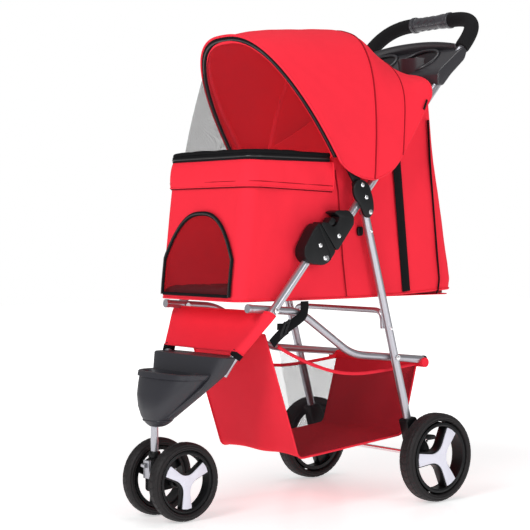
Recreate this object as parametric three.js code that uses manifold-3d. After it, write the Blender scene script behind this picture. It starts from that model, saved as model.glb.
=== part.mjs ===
// Three-wheeled pet stroller with a folding tube frame, fabric cabin, canopy and basket.
// Millimetres, +Z up, front towards -Y. The origin is on the floor, at the middle of the
// overall length and width. The left side is +X.
import * as THREE from 'three';
import { mergeVertices } from 'three/addons/utils/BufferGeometryUtils.js';
import Module from 'manifold-3d';

const wasm = await Module();
wasm.setup();

// ---------------------------------------------------------------- driving dimensions
const halfLength = 381.4;
const gap = 0.3;

const frontWheel = { radius: 72, width: 28, rimRadius: 57, openRadius: 50, x: 42, turn: -90 };
const rearWheel = { radius: 86, width: 36, rimRadius: 69, openRadius: 61, x: 184, turn: 180 };
const frontAxle = { y: frontWheel.radius - halfLength, z: frontWheel.radius, radius: 4 };
const rearAxle = { y: 192, z: rearWheel.radius, radius: 4 };
const brakePivot = [196, 114];
const casterTrail = 35;

const tube = { radius: 8, x: 143, sides: 8 };
const bore = { radius: tube.radius + 0.8, sides: 16 };
const sideTube = { radius: 7.5, x: 127 };
const slope = THREE.MathUtils.degToRad(48.3);

// pivots of the folding linkage, as [y, z]
const pivotA = [-183, 381];
const pivotB = [-68, 475];
const pivotC = [41, 561];
const pivotD = [120.5, 280.8];
const pinRadius = 3;

const pushBar = { reach: 653, bend: 82, gripHalf: 52 };
const foam = { radius: 15, bore: 9.4, sides: 10 };
const canopyPivot = [21, 612];

// ---------------------------------------------------------------- materials
const finish = (color, roughness, metalness = 0) =>
  new THREE.MeshStandardMaterial({ color, roughness, metalness });
const silverTube = finish(0xa9abb2, 0.35, 0.8);
const steel = finish(0xc9cace, 0.3, 0.9);
const blackPlastic = finish(0x15181b, 0.4);
const glossBlack = finish(0x1b1d22, 0.2);
const greyPlastic = finish(0x3c3c43, 0.5);
const palePlastic = finish(0xdfdff0, 0.35);
const tyreFoam = finish(0x232023, 0.8);
const blackFoam = finish(0x17171a, 0.95);
const redCloth = finish(0xf02840, 0.8);
const darkRedCloth = finish(0x8a1f2d, 0.85);
const blackMesh = finish(0x2a2427, 0.9);
const blackWebbing = finish(0x14151a, 0.85);

// ---------------------------------------------------------------- geometry helpers
const stroller = new THREE.Group();

function add(name, geometry, material) {
  const mesh = new THREE.Mesh(geometry, material);
  mesh.name = name;
  stroller.add(mesh);
}

// a copy of a left-side geometry for the right side, with its faces turned out again
function mirrored(geometry) {
  const copy = geometry.index ? geometry.toNonIndexed() : geometry.clone();
  copy.scale(-1, 1, 1);
  const place = copy.attributes.position;
  for (let i = 0; i < place.count; i += 3) {
    const a = new THREE.Vector3().fromBufferAttribute(place, i);
    const b = new THREE.Vector3().fromBufferAttribute(place, i + 1);
    place.setXYZ(i, b.x, b.y, b.z);
    place.setXYZ(i + 1, a.x, a.y, a.z);
  }
  copy.deleteAttribute('normal');
  copy.deleteAttribute('uv');
  return copy;
}

function addPair(name, geometry, material) {
  add(`${name}_l`, geometry, material);
  add(`${name}_r`, mirrored(geometry), material);
}

function toSolid(geometry) {
  const bare = geometry.clone();
  bare.deleteAttribute('normal');
  bare.deleteAttribute('uv');
  const merged = mergeVertices(bare, 1e-3);
  return new wasm.Manifold(new wasm.Mesh({
    numProp: 3,
    vertProperties: new Float32Array(merged.attributes.position.array),
    triVerts: new Uint32Array(merged.index.array),
  }));
}

function toGeometry(solid) {
  const mesh = solid.getMesh();
  const geometry = new THREE.BufferGeometry();
  geometry.setAttribute('position', new THREE.BufferAttribute(mesh.vertProperties, 3));
  geometry.setIndex(new THREE.BufferAttribute(mesh.triVerts, 1));
  return geometry;
}

function join(first, ...others) {
  return toGeometry(others.reduce((sum, other) => sum.add(toSolid(other)), toSolid(first)));
}

function cut(first, ...tools) {
  return toGeometry(tools.reduce((rest, tool) => rest.subtract(toSolid(tool)), toSolid(first)));
}

function box(x0, x1, y0, y1, z0, z1) {
  const geometry = new THREE.BoxGeometry(x1 - x0, y1 - y0, z1 - z0);
  return geometry.translate((x0 + x1) / 2, (y0 + y1) / 2, (z0 + z1) / 2);
}

// a round bar along X
function barX(x0, x1, y, z, radius, sides = 20) {
  const geometry = new THREE.CylinderGeometry(radius, radius, x1 - x0, sides);
  return geometry.rotateZ(Math.PI / 2).translate((x0 + x1) / 2, y, z);
}

function barZ(x, y, z0, z1, radius, sides = 24) {
  const geometry = new THREE.CylinderGeometry(radius, radius, z1 - z0, sides);
  return geometry.rotateX(Math.PI / 2).translate(x, y, (z0 + z1) / 2);
}

// a side-view outline given as a Shape in (y, z), thickened from x0 to x1
function slab(shape, x0, x1, curveSegments = 6) {
  const geometry = new THREE.ExtrudeGeometry(shape, {
    depth: x1 - x0, bevelEnabled: false, curveSegments });
  const turn = new THREE.Matrix4().makeBasis(
    new THREE.Vector3(0, 1, 0), new THREE.Vector3(0, 0, 1), new THREE.Vector3(1, 0, 0));
  return geometry.applyMatrix4(turn).translate(x0, 0, 0);
}

const outline = (points) => new THREE.Shape(points.map(([u, v]) => new THREE.Vector2(u, v)));

function polygon(radius, sides) {
  return outline(Array.from({ length: sides }, (_, i) => {
    const angle = (2 * Math.PI * (i + 0.5)) / sides;
    return [radius * Math.cos(angle), radius * Math.sin(angle)];
  }));
}

// a curve through a list of points, with one ring of a swept tube at each point
class Route extends THREE.Curve {
  constructor(points) {
    super();
    this.points = points;
  }

  getPoint(t) {
    const place = t * (this.points.length - 1);
    const index = Math.min(Math.floor(place), this.points.length - 2);
    return this.points[index].clone().lerp(this.points[index + 1], place - index);
  }

  getPointAt(u) {
    return this.getPoint(u);
  }

  getTangentAt(u) {
    return this.getTangent(u);
  }
}

// straight runs joined by bends that start `bend` before each corner
function bentPoints(corners, bend, rings = 4) {
  const points = [corners[0]];
  corners.slice(1, -1).forEach((corner, i) => {
    const back = new THREE.Vector3().subVectors(corners[i], corner).setLength(bend);
    const ahead = new THREE.Vector3().subVectors(corners[i + 2], corner).setLength(bend);
    const arc = new THREE.QuadraticBezierCurve3(
      corner.clone().add(back), corner, corner.clone().add(ahead));
    points.push(...arc.getPoints(rings));
  });
  return [...points, corners[corners.length - 1]];
}

function sweep(points, radius, sides = tube.sides) {
  return new THREE.ExtrudeGeometry(polygon(radius, sides), {
    steps: points.length - 1, bevelEnabled: false, extrudePath: new Route(points) });
}

const point = (x, [y, z]) => new THREE.Vector3(x, y, z);

// the tool that bores a tube's way through a fitting, between two places given as [y, z]
function straightBore(from, to, x = tube.x) {
  return sweep([point(x, from), point(x, to)], bore.radius, bore.sides);
}

// a closed skin through equal rings of points, with a fan at each end
function loft(rings) {
  const count = rings[0].length;
  const vertices = rings.flat();
  const faces = [];
  rings.slice(1).forEach((_, i) => {
    for (let j = 0; j < count; j++) {
      const a = i * count + j;
      const b = i * count + ((j + 1) % count);
      faces.push(a, b, a + count, b, b + count, a + count);
    }
  });
  [0, rings.length - 1].forEach((row) => {
    const centre = new THREE.Vector3();
    rings[row].forEach((p) => centre.addScaledVector(p, 1 / count));
    vertices.push(centre);
    for (let j = 0; j < count; j++) {
      const a = row * count + j;
      const b = row * count + ((j + 1) % count);
      const fan = row === 0 ? [b, a] : [a, b];
      faces.push(...fan, vertices.length - 1);
    }
  });
  const geometry = new THREE.BufferGeometry().setFromPoints(vertices);
  geometry.setIndex(faces);
  return turnedOut(geometry);
}

function turnedOut(geometry) {
  const place = geometry.attributes.position;
  const index = geometry.index.array;
  let volume = 0;
  for (let i = 0; i < index.length; i += 3) {
    const [a, b, c] = [0, 1, 2].map((k) =>
      new THREE.Vector3().fromBufferAttribute(place, index[i + k]));
    volume += a.dot(b.cross(c));
  }
  if (volume < 0) {
    for (let i = 0; i < index.length; i += 3) {
      [index[i], index[i + 1]] = [index[i + 1], index[i]];
    }
  }
  return geometry;
}

// a curved sheet between an outer and an inner surface, each a function of u and v in 0..1
function sheet(outer, inner, rows, columns) {
  const ringAt = (u) => {
    const across = Array.from({ length: columns + 1 }, (_, j) => j / columns);
    const outside = across.map((v) => outer(u, v));
    const inside = across.map((v) => inner(u, v)).reverse();
    return [...outside, ...inside];
  };
  const rings = Array.from({ length: rows + 1 }, (_, i) => ringAt(i / rows));
  const count = rings[0].length;
  const vertices = rings.flat();
  const faces = [];
  for (let i = 0; i < rows; i++) {
    for (let j = 0; j < count; j++) {
      const a = i * count + j;
      const b = i * count + ((j + 1) % count);
      faces.push(a, b, a + count, b, b + count, a + count);
    }
  }
  for (let j = 0; j < columns; j++) {
    [0, rows].forEach((row) => {
      const a = row * count + j;
      const b = a + 1;
      const c = row * count + count - 1 - j;
      const d = c - 1;
      const first = row === 0 ? [b, a, c] : [a, b, c];
      const second = row === 0 ? [b, c, d] : [b, d, c];
      faces.push(...first, ...second);
    });
  }
  const geometry = new THREE.BufferGeometry().setFromPoints(vertices);
  geometry.setIndex(faces);
  return turnedOut(geometry);
}

// ---------------------------------------------------------------- frame tubes
const along = [Math.cos(slope), Math.sin(slope)];
const above = [-Math.sin(slope), Math.cos(slope)];

// a place near the fold latch: s along the handle from its pivot, m square to it
const atLatch = (s, m) => [
  pivotB[0] + s * along[0] + m * above[0],
  pivotB[1] + s * along[1] + m * above[1],
];

const frontTubeOffset = 23.4;
const drill = (y, z) => barX(60, 190, y, z, pinRadius + gap, 12);

// extra lengthens the tube's lower end, for the socket that takes it
function frontTubePoints(extra = 0) {
  return bentPoints([
    point(tube.x, atLatch(22, frontTubeOffset)),
    point(tube.x, atLatch(-157, frontTubeOffset)),
    point(100, [-244, 292]),
    point(84, [-258 - extra, 256 - 2 * extra]),
  ], 14);
}

function frontTube() {
  return cut(sweep(frontTubePoints(), tube.radius), drill(...pivotA));
}

// the handle is one U-shaped tube, from latch to latch over the push bar
function handlePoints() {
  const low = atLatch(-8, 0);
  const corner = atLatch(pushBar.reach, 0);
  return bentPoints([
    point(tube.x, low),
    point(tube.x, corner),
    point(-tube.x, corner),
    point(-tube.x, low),
  ], pushBar.bend, 8);
}

function handleTube() {
  return cut(sweep(handlePoints(), tube.radius), drill(...pivotB),
    barX(-190, -60, ...pivotB, pinRadius + gap, 12));
}

function rearLeg() {
  const run = [point(tube.x, atLeg(-10)), point(tube.x, atLeg(legLength))];
  return cut(sweep(run, tube.radius), drill(...pivotC), drill(...pivotD));
}

const legLength = 455;
const legLean = Math.atan2(pivotD[0] - pivotC[0], pivotC[1] - pivotD[1]);

// a place on the rear leg, at a distance below its top pivot
function atLeg(distance, behind = 0) {
  return [
    pivotC[0] + distance * Math.sin(legLean) + behind * Math.cos(legLean),
    pivotC[1] - distance * Math.cos(legLean) + behind * Math.sin(legLean),
  ];
}

// the cabin rest: a U-shaped tube riveted to the insides of the rear legs
function legCrossTube() {
  const radius = 5.5;
  const x = tube.x - tube.radius - radius - 0.5;
  const low = atLeg(232, -2);
  const high = [100, 372];
  const corners = [point(x, low), point(x, high), point(-x, high), point(-x, low)];
  return sweep(bentPoints(corners, 20), radius);
}

function sideTubeSolid() {
  const run = bentPoints([
    point(sideTube.x, [-227, 386]),
    point(sideTube.x, [-108, 377]),
    point(sideTube.x, [22, 291]),
    point(sideTube.x, [214, 271]),
  ], 30);
  return cut(sweep(run, sideTube.radius), drill(...pivotA));
}

function pivotPin([y, z], x0, x1) {
  const head = (x) => barX(x, x + 2, y, z, 5.5, 12);
  return join(barX(x0, x1, y, z, pinRadius, 12), head(x1 - 0.2), head(x0 - 1.8));
}

// the linkage is open at pivot D: its pin sits in the rear leg and stops short of the side tube
function legPin([y, z]) {
  const end = tube.x + tube.radius + 0.5;
  return join(barX(sideTube.x + sideTube.radius + 0.6, end, y, z, pinRadius, 12),
    barX(end - 0.2, end + 1.8, y, z, 5.5, 12));
}

// ---------------------------------------------------------------- latches and link plates
const cheek = { inner: 129, outer: 157 };

function latchBase() {
  const shape = outline([
    [-32, 24], [-32, 40], [-20, 51], [21, 57], [37, 55], [24, -10], [0, -10], [-14, -3],
  ].map(([s, m]) => atLatch(s, m)));
  const body = slab(shape, cheek.inner, cheek.outer);
  const slot = slab(outline([[-60, -30], [-60, 12.5], [80, 12.5], [80, -30]]
    .map(([s, m]) => atLatch(s, m))), 133, 153);
  const socket = straightBore(atLatch(-60, frontTubeOffset), atLatch(22 + gap, frontTubeOffset));
  return cut(body, slot, socket, drill(...pivotB));
}

function latchTop() {
  const shape = outline([
    [42, -11], [42, 13.5], [60, 13.5], [63, 21], [80, 25], [76, 41], [85, 37], [103, 17],
    [103, 0], [93, -11],
  ].map(([s, m]) => atLatch(s, m)));
  return cut(slab(shape, cheek.inner + 1, cheek.outer - 1),
    straightBore(atLatch(20, 0), atLatch(130, 0)));
}

function latchLever() {
  const shape = outline([
    [41, 15], [41, 48], [46, 50], [53, 37], [53.5, 24], [57, 15],
  ].map(([s, m]) => atLatch(s, m)));
  return slab(shape, cheek.inner + 3, cheek.outer - 3);
}

function linkPlate() {
  const shape = outline([
    [-1, 606], [8, 618], [21, 623], [42, 614], [52, 584], [52, 562], [46, 552], [36, 550],
    [27, 557], [18, 575], [6, 588],
  ]);
  const plate = slab(shape, tube.x + tube.radius + 0.8, tube.x + tube.radius + 7);
  return cut(plate, drill(...pivotC), drill(...canopyPivot));
}

// ---------------------------------------------------------------- wheels
// outlines and profiles of a wheel lie in its own plane: u forward, v up
function spiderShape(tip, root, halfTip, halfRoot, turn) {
  const shape = new THREE.Shape();
  const place = (arm, radius, side) => {
    const angle = THREE.MathUtils.degToRad(turn + 120 * arm);
    return new THREE.Vector2(
      radius * Math.cos(angle) - side * Math.sin(angle),
      radius * Math.sin(angle) + side * Math.cos(angle));
  };
  const hub = (arm) => place(arm + 0.5, 1.15 * halfRoot, 0);
  shape.moveTo(...place(0, root, -halfRoot));
  for (let arm = 0; arm < 3; arm++) {
    shape.lineTo(...place(arm, tip, -halfTip));
    shape.lineTo(...place(arm, tip, halfTip));
    shape.lineTo(...place(arm, root, halfRoot));
    shape.quadraticCurveTo(...hub(arm), ...place(arm + 1, root, -halfRoot));
  }
  return shape;
}

const circle = (radius) => new THREE.Shape().absarc(0, 0, radius, 0, 2 * Math.PI);

function wheelParts(wheel, axle) {
  const outerFace = wheel.x + wheel.width / 2;
  const innerFace = wheel.x - wheel.width / 2;
  const scale = wheel.openRadius / 61;
  const move = (geometry) => geometry.translate(0, axle.y, axle.z);

  // the tread has flat facets, with the middle of one resting on the floor
  const crown = 5 * scale;
  const half = wheel.width / 2;
  const section = [
    [wheel.rimRadius + gap, -half + 3], [wheel.radius - 2.6 * crown, -half],
    [wheel.radius - crown, -half + 3], [wheel.radius, -half + 10],
    [wheel.radius, half - 10], [wheel.radius - crown, half - 3],
    [wheel.radius - 2.6 * crown, half], [wheel.rimRadius + gap, half - 3],
    [wheel.rimRadius + gap, -half + 3],
  ];
  const facets = 40;
  const toCorner = 1 / Math.cos(Math.PI / facets);
  const profile = section.map(([r, w]) => new THREE.Vector2(r * toCorner, w));
  const lathe = new THREE.LatheGeometry(profile, facets, Math.PI / facets);
  const tyre = turnedOut(mergeVertices(bareCopy(lathe), 1e-3));
  tyre.rotateZ(-Math.PI / 2).translate(wheel.x, axle.y, axle.z);

  const ring = circle(wheel.rimRadius);
  ring.holes.push(circle(wheel.openRadius));
  const arms = spiderShape(wheel.openRadius + 3, 24 * scale, 16 * scale, 11.5 * scale, wheel.turn);
  const axleBore = barX(-250, 250, axle.y, axle.z, axle.radius + gap, 16);
  const rim = cut(join(
    move(slab(ring, innerFace + 4, outerFace - 4, 15)),
    move(slab(arms, innerFace + 10, outerFace - 6, 5)),
    barX(innerFace + 2, outerFace - 7, axle.y, axle.z, 15 * scale, 16),
  ), axleBore);

  const insert = spiderShape(wheel.openRadius - 3, 24 * scale, 12.5 * scale, 8.5 * scale,
    wheel.turn);
  const spider = move(slab(insert, outerFace - 6 + gap, outerFace - 3.5, 5));
  return { tyre, rim, spider };
}

function bareCopy(geometry) {
  const copy = geometry.clone();
  copy.deleteAttribute('normal');
  copy.deleteAttribute('uv');
  return copy;
}

// ---------------------------------------------------------------- caster
const stem = { y: frontAxle.y - casterTrail, radius: 7, low: 60, high: 215 };

function casterFork() {
  const block = box(-13, 13, stem.y - 13, stem.y + 14, 52, 115);
  const hub = barX(-24, 24, frontAxle.y, frontAxle.z, 13, 20);
  const arm = slab(outline([
    [stem.y, 108], [stem.y + 14, 112], [frontAxle.y + 8, 84], [frontAxle.y + 2, 60],
    [stem.y, 58],
  ]), -9, 9);
  return cut(join(block, hub, arm),
    barZ(0, stem.y, stem.low - gap, 160, stem.radius + gap),
    barX(-60, 60, frontAxle.y, frontAxle.z, frontAxle.radius + gap, 20));
}

function swivelLock() {
  const plate = box(-9, 9, stem.y - 19, stem.y - 13 - gap, 78, 111);
  const lever = box(-4, 4, stem.y - 27, stem.y - 18, 98, 105);
  return join(plate, lever);
}

// the housing is a shield-shaped bowl: [z, half width, front y, rear y]
const housingRings = [
  [171, 14, -352, -328], [178, 26, -357, -318], [190, 42, -361, -309], [206, 56, -361, -296],
  [226, 72, -356, -276], [246, 86, -347, -257], [262, 96, -340, -242], [268, 100, -337, -237],
];

function superRing(z, halfWidth, front, rear, power, count = 24) {
  const middle = (front + rear) / 2;
  const depth = (rear - front) / 2;
  const bend = (value) => Math.sign(value) * Math.abs(value) ** (2 / power);
  return Array.from({ length: count }, (_, i) => {
    const angle = (2 * Math.PI * i) / count;
    return new THREE.Vector3(
      halfWidth * bend(Math.cos(angle)), middle + depth * bend(Math.sin(angle)), z);
  });
}

function casterHousing() {
  const bowl = loft(housingRings.map((ring) => superRing(...ring, 2.6)));
  const back = loft([
    superRing(226, 72, -296, -262, 5), superRing(268, 99, -288, -240, 5),
    superRing(298, 111, -279, -226, 5)]);
  const pocket = loft([
    superRing(240, 50, -338, -296, 2.6), superRing(300, 92, -331, -289, 2.6)]);
  const stemBore = barZ(0, stem.y, 150, stem.high + gap, stem.radius + gap);
  const channel = sweep(frontTubePoints(0.3), tube.radius + 1);
  return cut(join(bowl, back), pocket, stemBore, channel, mirrored(channel));
}

// ---------------------------------------------------------------- rear axle, brackets, brakes
function axleBracket() {
  const top = atLeg(legLength - 40);
  const low = atLeg(legLength + 12);
  const shape = outline([
    [top[0] - 13, top[1] - 3], [top[0] + 13, top[1] + 3], [rearAxle.y + 14, rearAxle.z + 12],
    [rearAxle.y + 12, rearAxle.z - 11], [rearAxle.y - 8, rearAxle.z - 13],
    [low[0] - 13, low[1] - 4],
  ]);
  const socket = straightBore(atLeg(legLength - 80), atLeg(legLength + gap));
  const spacer = barX(154, rearWheel.x - rearWheel.width / 2 + 1, rearAxle.y, rearAxle.z, 9);
  const pin = barX(tube.x - 16, tube.x + 11, ...brakePivot, pinRadius, 12);
  return cut(join(slab(shape, tube.x - 12, tube.x + 12), spacer, pin), socket,
    barX(60, 190, rearAxle.y, rearAxle.z, rearAxle.radius + gap, 20));
}

function brakePedal() {
  const arm = slab(outline([
    [brakePivot[0] - 9, 112], [brakePivot[0] - 6, 124], [brakePivot[0] + 8, 125],
    [246, 117], [249, 110], [224, 109], [brakePivot[0] + 6, 107],
  ]), tube.x - 12 - 14, tube.x - 12 - 1);
  return cut(arm, barX(60, 190, ...brakePivot, pinRadius + gap, 12));
}

// ---------------------------------------------------------------- handle fittings
const handleCurve = new THREE.CurvePath();
handlePoints().forEach((p, i, all) => {
  if (i > 0) handleCurve.add(new THREE.LineCurve3(all[i - 1], p));
});
const handleLength = handleCurve.getLength();

// a sleeve on the handle between two distances along it, from the left end
function sleeve(from, to, steps) {
  const run = (start, end) => Array.from({ length: steps + 1 }, (_, i) =>
    handleCurve.getPointAt((start + ((end - start) * i) / steps) / handleLength));
  return cut(sweep(run(from, to), foam.radius, foam.sides),
    sweep(run(from - 4, to + 4), foam.bore, foam.sides));
}

const trayEnd = 573;

const cups = { x: 60, y: 267, radius: 32, floor: 806, wall: 3 };

function cupTray() {
  const deck = slab(outline([
    [226, 812], [227, 838], [236, 846], [288, 886], [302, 894], [308, 884], [300, 868],
    [262, 836], [240, 812],
  ]), -(tube.x + 12), tube.x + 12);
  const wells = [-cups.x, cups.x];
  const outer = wells.map((x) =>
    barZ(x, cups.y, cups.floor - cups.wall, 872, cups.radius + cups.wall, 28));
  const inner = wells.map((x) => barZ(x, cups.y, cups.floor, 960, cups.radius, 28));
  return cut(join(deck, ...outer), ...inner, sweep(handlePoints(), tube.radius + 1));
}

// ---------------------------------------------------------------- canopy hoops
const hoops = {
  front: { angle: 126.5, reach: 336, halfWidth: 143, arm: [144.6, 150] },
  middle: { angle: 80, reach: 300, halfWidth: 135, arm: [137, 142.4] },
};
const hoopFoot = 62;
const hoopPower = 2.6;

// a place on a hoop: turn runs from 0 at the left foot to 180 degrees at the right foot
function hoopPoint({ angle, reach, halfWidth }, turn) {
  const round = (value) => Math.sign(value) * Math.abs(value) ** (2 / hoopPower);
  const lean = THREE.MathUtils.degToRad(angle);
  const out = reach * round(Math.sin(turn));
  return new THREE.Vector3(
    halfWidth * round(Math.cos(turn)),
    canopyPivot[0] + out * Math.cos(lean),
    canopyPivot[1] + out * Math.sin(lean));
}

function canopyHoop(spec) {
  const start = Math.asin((hoopFoot / spec.reach) ** (hoopPower / 2));
  const rings = 26;
  const points = Array.from({ length: rings + 1 }, (_, i) =>
    hoopPoint(spec, start + (i * (Math.PI - 2 * start)) / rings));
  const bow = sweep(points, 4, 6);
  const lean = THREE.MathUtils.degToRad(spec.angle);
  const corner = (out, side) => [
    canopyPivot[0] + out * Math.cos(lean) - side * Math.sin(lean),
    canopyPivot[1] + out * Math.sin(lean) + side * Math.cos(lean),
  ];
  const armShape = outline([
    corner(-7, -5), corner(-7, 5), corner(0, 8), corner(hoopFoot + 12, 6),
    corner(hoopFoot + 12, -6), corner(0, -8),
  ]);
  const arm = slab(armShape, ...spec.arm);
  const shoe = slab(outline([
    corner(hoopFoot - 12, 6), corner(hoopFoot + 12, 6), corner(hoopFoot + 12, -6),
    corner(hoopFoot - 12, -6),
  ]), spec.halfWidth - 6, spec.arm[1]);
  const pinHole = barX(60, 190, ...canopyPivot, pinRadius + gap, 12);
  const side = cut(join(arm, shoe), pinHole);
  return join(bow, side, mirrored(side));
}

// ---------------------------------------------------------------- canopy and mesh window
const canopyEdge = new THREE.CatmullRomCurve3([
  new THREE.Vector3(153.5, -30, 655), new THREE.Vector3(155, 8, 636),
  new THREE.Vector3(157, 55, 630), new THREE.Vector3(157, 123, 666),
  new THREE.Vector3(157, 170, 738), new THREE.Vector3(157, 200, 788),
]);
const canopyRidge = new THREE.CatmullRomCurve3([
  new THREE.Vector3(0, -187, 890), new THREE.Vector3(0, -75, 914),
  new THREE.Vector3(0, 50, 919), new THREE.Vector3(0, 130, 905),
  new THREE.Vector3(0, 185, 868), new THREE.Vector3(0, 212, 838),
]);

// u runs from the front rim to the rear hem, v from the left edge over the top to the right
function canopySurface(inset) {
  return (u, v) => {
    const foot = canopyEdge.getPoint(u);
    const crest = canopyRidge.getPoint(u);
    const turn = Math.PI * v;
    const across = Math.sign(Math.cos(turn)) * Math.abs(Math.cos(turn)) ** (2 / (2.6 + 0.8 * u));
    const up = Math.sin(turn) ** (2 / (2.2 + 0.8 * u));
    return new THREE.Vector3(
      (foot.x - inset) * across,
      foot.y + (crest.y - foot.y) * up,
      foot.z + (crest.z - inset - foot.z) * up);
  };
}

const cabinRim = { side: 124, front: -219, rear: -36, z: 662 };

// the foot of the mesh window, along the cabin's front rim from left to right
function rimPoint(v) {
  const turn = Math.PI * v;
  const across = Math.sign(Math.cos(turn)) * Math.abs(Math.cos(turn)) ** 0.35;
  const ahead = Math.sin(turn) ** 0.5;
  const { side, front, rear, z } = cabinRim;
  return new THREE.Vector3(side * across, rear + (front - rear) * ahead, z);
}

function meshSurface(inset) {
  const arch = { angle: 128.5, reach: 326 - inset, halfWidth: 137 - inset };
  return (u, v) => {
    const foot = rimPoint(v).multiply(new THREE.Vector3(1 - inset / 130, 1, 1));
    foot.y += inset * Math.sin(Math.PI * v);
    const turn = THREE.MathUtils.lerp(0.2, Math.PI - 0.2, v);
    return foot.lerp(hoopPoint(arch, turn), u);
  };
}

// ---------------------------------------------------------------- cabin
// levels of the cabin's outside: [z, front y, rear y]
const cabinLevels = [
  [397, -248, 286], [405, -253, 300], [420, -252, 304], [560, -236, 278], [662, -221, 262],
  [786, -200, 245],
];
const cabinHalfWidth = 126;
const cabinWall = 3.5;

function roundedRing([z, front, rear], inset) {
  const corner = 26 - inset;
  const half = cabinHalfWidth - inset;
  const centres = [
    [half - corner, rear - inset - corner], [corner - half, rear - inset - corner],
    [corner - half, front + inset + corner], [half - corner, front + inset + corner],
  ];
  const turns = 4;
  return centres.flatMap(([x, y], quarter) =>
    Array.from({ length: turns + 1 }, (_, i) => {
      const angle = ((quarter + i / turns) * Math.PI) / 2;
      return new THREE.Vector3(x + corner * Math.cos(angle), y + corner * Math.sin(angle), z);
    }));
}

// the doorway lies in the front wall, which leans back as it rises
const doorway = { halfWidth: 102, low: 406, high: 556, round: 84 };

function archShape(grow) {
  const half = doorway.halfWidth + grow;
  const round = doorway.round + grow;
  const shoulder = doorway.high + grow - round;
  const shape = new THREE.Shape();
  shape.moveTo(-half, doorway.low - grow);
  shape.lineTo(half, doorway.low - grow);
  shape.lineTo(half, shoulder);
  shape.quadraticCurveTo(half, doorway.high + grow, 0, doorway.high + grow);
  shape.quadraticCurveTo(-half, doorway.high + grow, -half, shoulder);
  return shape;
}

const frontLean = 0.114;

function archPrism(grow, front, back) {
  const geometry = new THREE.ExtrudeGeometry(archShape(grow), {
    depth: back - front, bevelEnabled: false, curveSegments: 8 });
  const lean = new THREE.Matrix4().set(
    1, 0, 0, 0,
    0, frontLean, 1, front - 252 - frontLean * 420,
    0, 1, 0, 0,
    0, 0, 0, 1);
  return turnedOut(mergeVertices(bareCopy(geometry.applyMatrix4(lean)), 1e-3));
}

function cabin() {
  const outside = loft(cabinLevels.map((level) => roundedRing(level, 0)));
  const hollow = cabinLevels.map((level) => roundedRing(level, cabinWall));
  hollow[0].forEach((p) => { p.z += cabinWall; });
  hollow[hollow.length - 1].forEach((p) => { p.z += 10; });
  const mouth = slab(outline([[-300, 660], [-26, 657], [202, 788], [202, 900], [-300, 900]]),
    -200, 200);
  return cut(outside, loft(hollow), mouth, archPrism(1, -20, 20));
}

function cabinMat() {
  const level = [0, -240, 288];
  const rings = [[401.5, 7], [405, 5], [416, 5], [421, 9]].map(([z, inset]) =>
    roundedRing(level, inset).map((p) => new THREE.Vector3(p.x, p.y, z)));
  return loft(rings);
}

// ---------------------------------------------------------------- basket and front panel
const basket = { halfWidth: 117, wall: 3 };

function basketShell() {
  const outside = slab(outline([
    [-186, 336], [-106, 100], [166, 125], [206, 258], [150, 254], [70, 246], [-40, 280],
    [-120, 318],
  ]), -basket.halfWidth, basket.halfWidth);
  const inside = slab(outline([
    [-180, 345], [-102, 104], [163, 128.5], [203, 262], [203, 400], [-180, 400],
  ]), basket.wall - basket.halfWidth, basket.halfWidth - basket.wall);
  return cut(outside, inside);
}

function frontPanel() {
  const lean = new THREE.Vector2(-0.903, 0.43);
  const ring = (halfWidth, y, z) => [[-1, 10], [1, 10], [1, 13], [-1, 13]].map(([side, out]) =>
    new THREE.Vector3(side * halfWidth, y + lean.x * out, z + lean.y * out));
  return loft([ring(110, -235, 303), ring(146, -195, 363)]);
}

// the strap that holds the frame shut when folded, with its buckle at the free end
function foldStrap() {
  const webbing = slab(outline([
    [-122, 396], [-98, 396], [-95, 366], [-140, 308], [-156, 320], [-121, 366],
  ]), 137, 138.5);
  return join(webbing, box(133, 141.5, -176, -148, 296, 318));
}

// ---------------------------------------------------------------- assembly
addPair('front_tube', frontTube(), silverTube);
addPair('latch_base', latchBase(), blackPlastic);
addPair('pin_a', pivotPin(pivotA, 119, tube.x + tube.radius + 0.5), steel);
addPair('pin_b', pivotPin(pivotB, cheek.inner - 0.3, cheek.outer + 0.3), steel);
add('caster_housing', casterHousing(), greyPlastic);
add('front_panel', frontPanel(), redCloth);

add('caster_stem', barZ(0, stem.y, stem.low, stem.high, stem.radius), silverTube);
add('caster_fork', casterFork(), blackPlastic);
add('swivel_lock', swivelLock(), steel);
add('front_axle', barX(-49, 49, frontAxle.y, frontAxle.z, frontAxle.radius, 20), steel);

add('handle_tube', handleTube(), silverTube);
addPair('latch_top', latchTop(), blackPlastic);
addPair('latch_lever', latchLever(), blackPlastic);
addPair('link_plate', linkPlate(), blackPlastic);
addPair('pin_c', pivotPin(pivotC, 134.5, tube.x + tube.radius + 7.3), steel);
add('handle_grip', sleeve(handleLength / 2 - pushBar.gripHalf, handleLength / 2
  + pushBar.gripHalf, 1), greyPlastic);
addPair('handle_foam', sleeve(trayEnd, handleLength / 2 - pushBar.gripHalf - 1, 12),
  blackFoam);
add('cup_tray', cupTray(), glossBlack);
add('front_hoop', canopyHoop(hoops.front), silverTube);
add('middle_hoop', canopyHoop(hoops.middle), silverTube);
add('canopy', sheet(canopySurface(0), canopySurface(2.2), 10, 18), redCloth);
add('mesh_window', sheet(meshSurface(0), meshSurface(1.5), 4, 20), blackMesh);
add('cabin', cabin(), redCloth);
add('front_door', archPrism(0, 0.4, 2.8), blackMesh);
add('cabin_mat', cabinMat(), darkRedCloth);

addPair('rear_leg', rearLeg(), silverTube);
addPair('pin_d', legPin(pivotD), steel);
add('leg_cross_tube', legCrossTube(), silverTube);
add('rear_axle', barX(-195, 195, rearAxle.y, rearAxle.z, rearAxle.radius, 20), steel);
addPair('axle_bracket', axleBracket(), blackPlastic);
addPair('brake_pedal', brakePedal(), blackPlastic);

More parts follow.
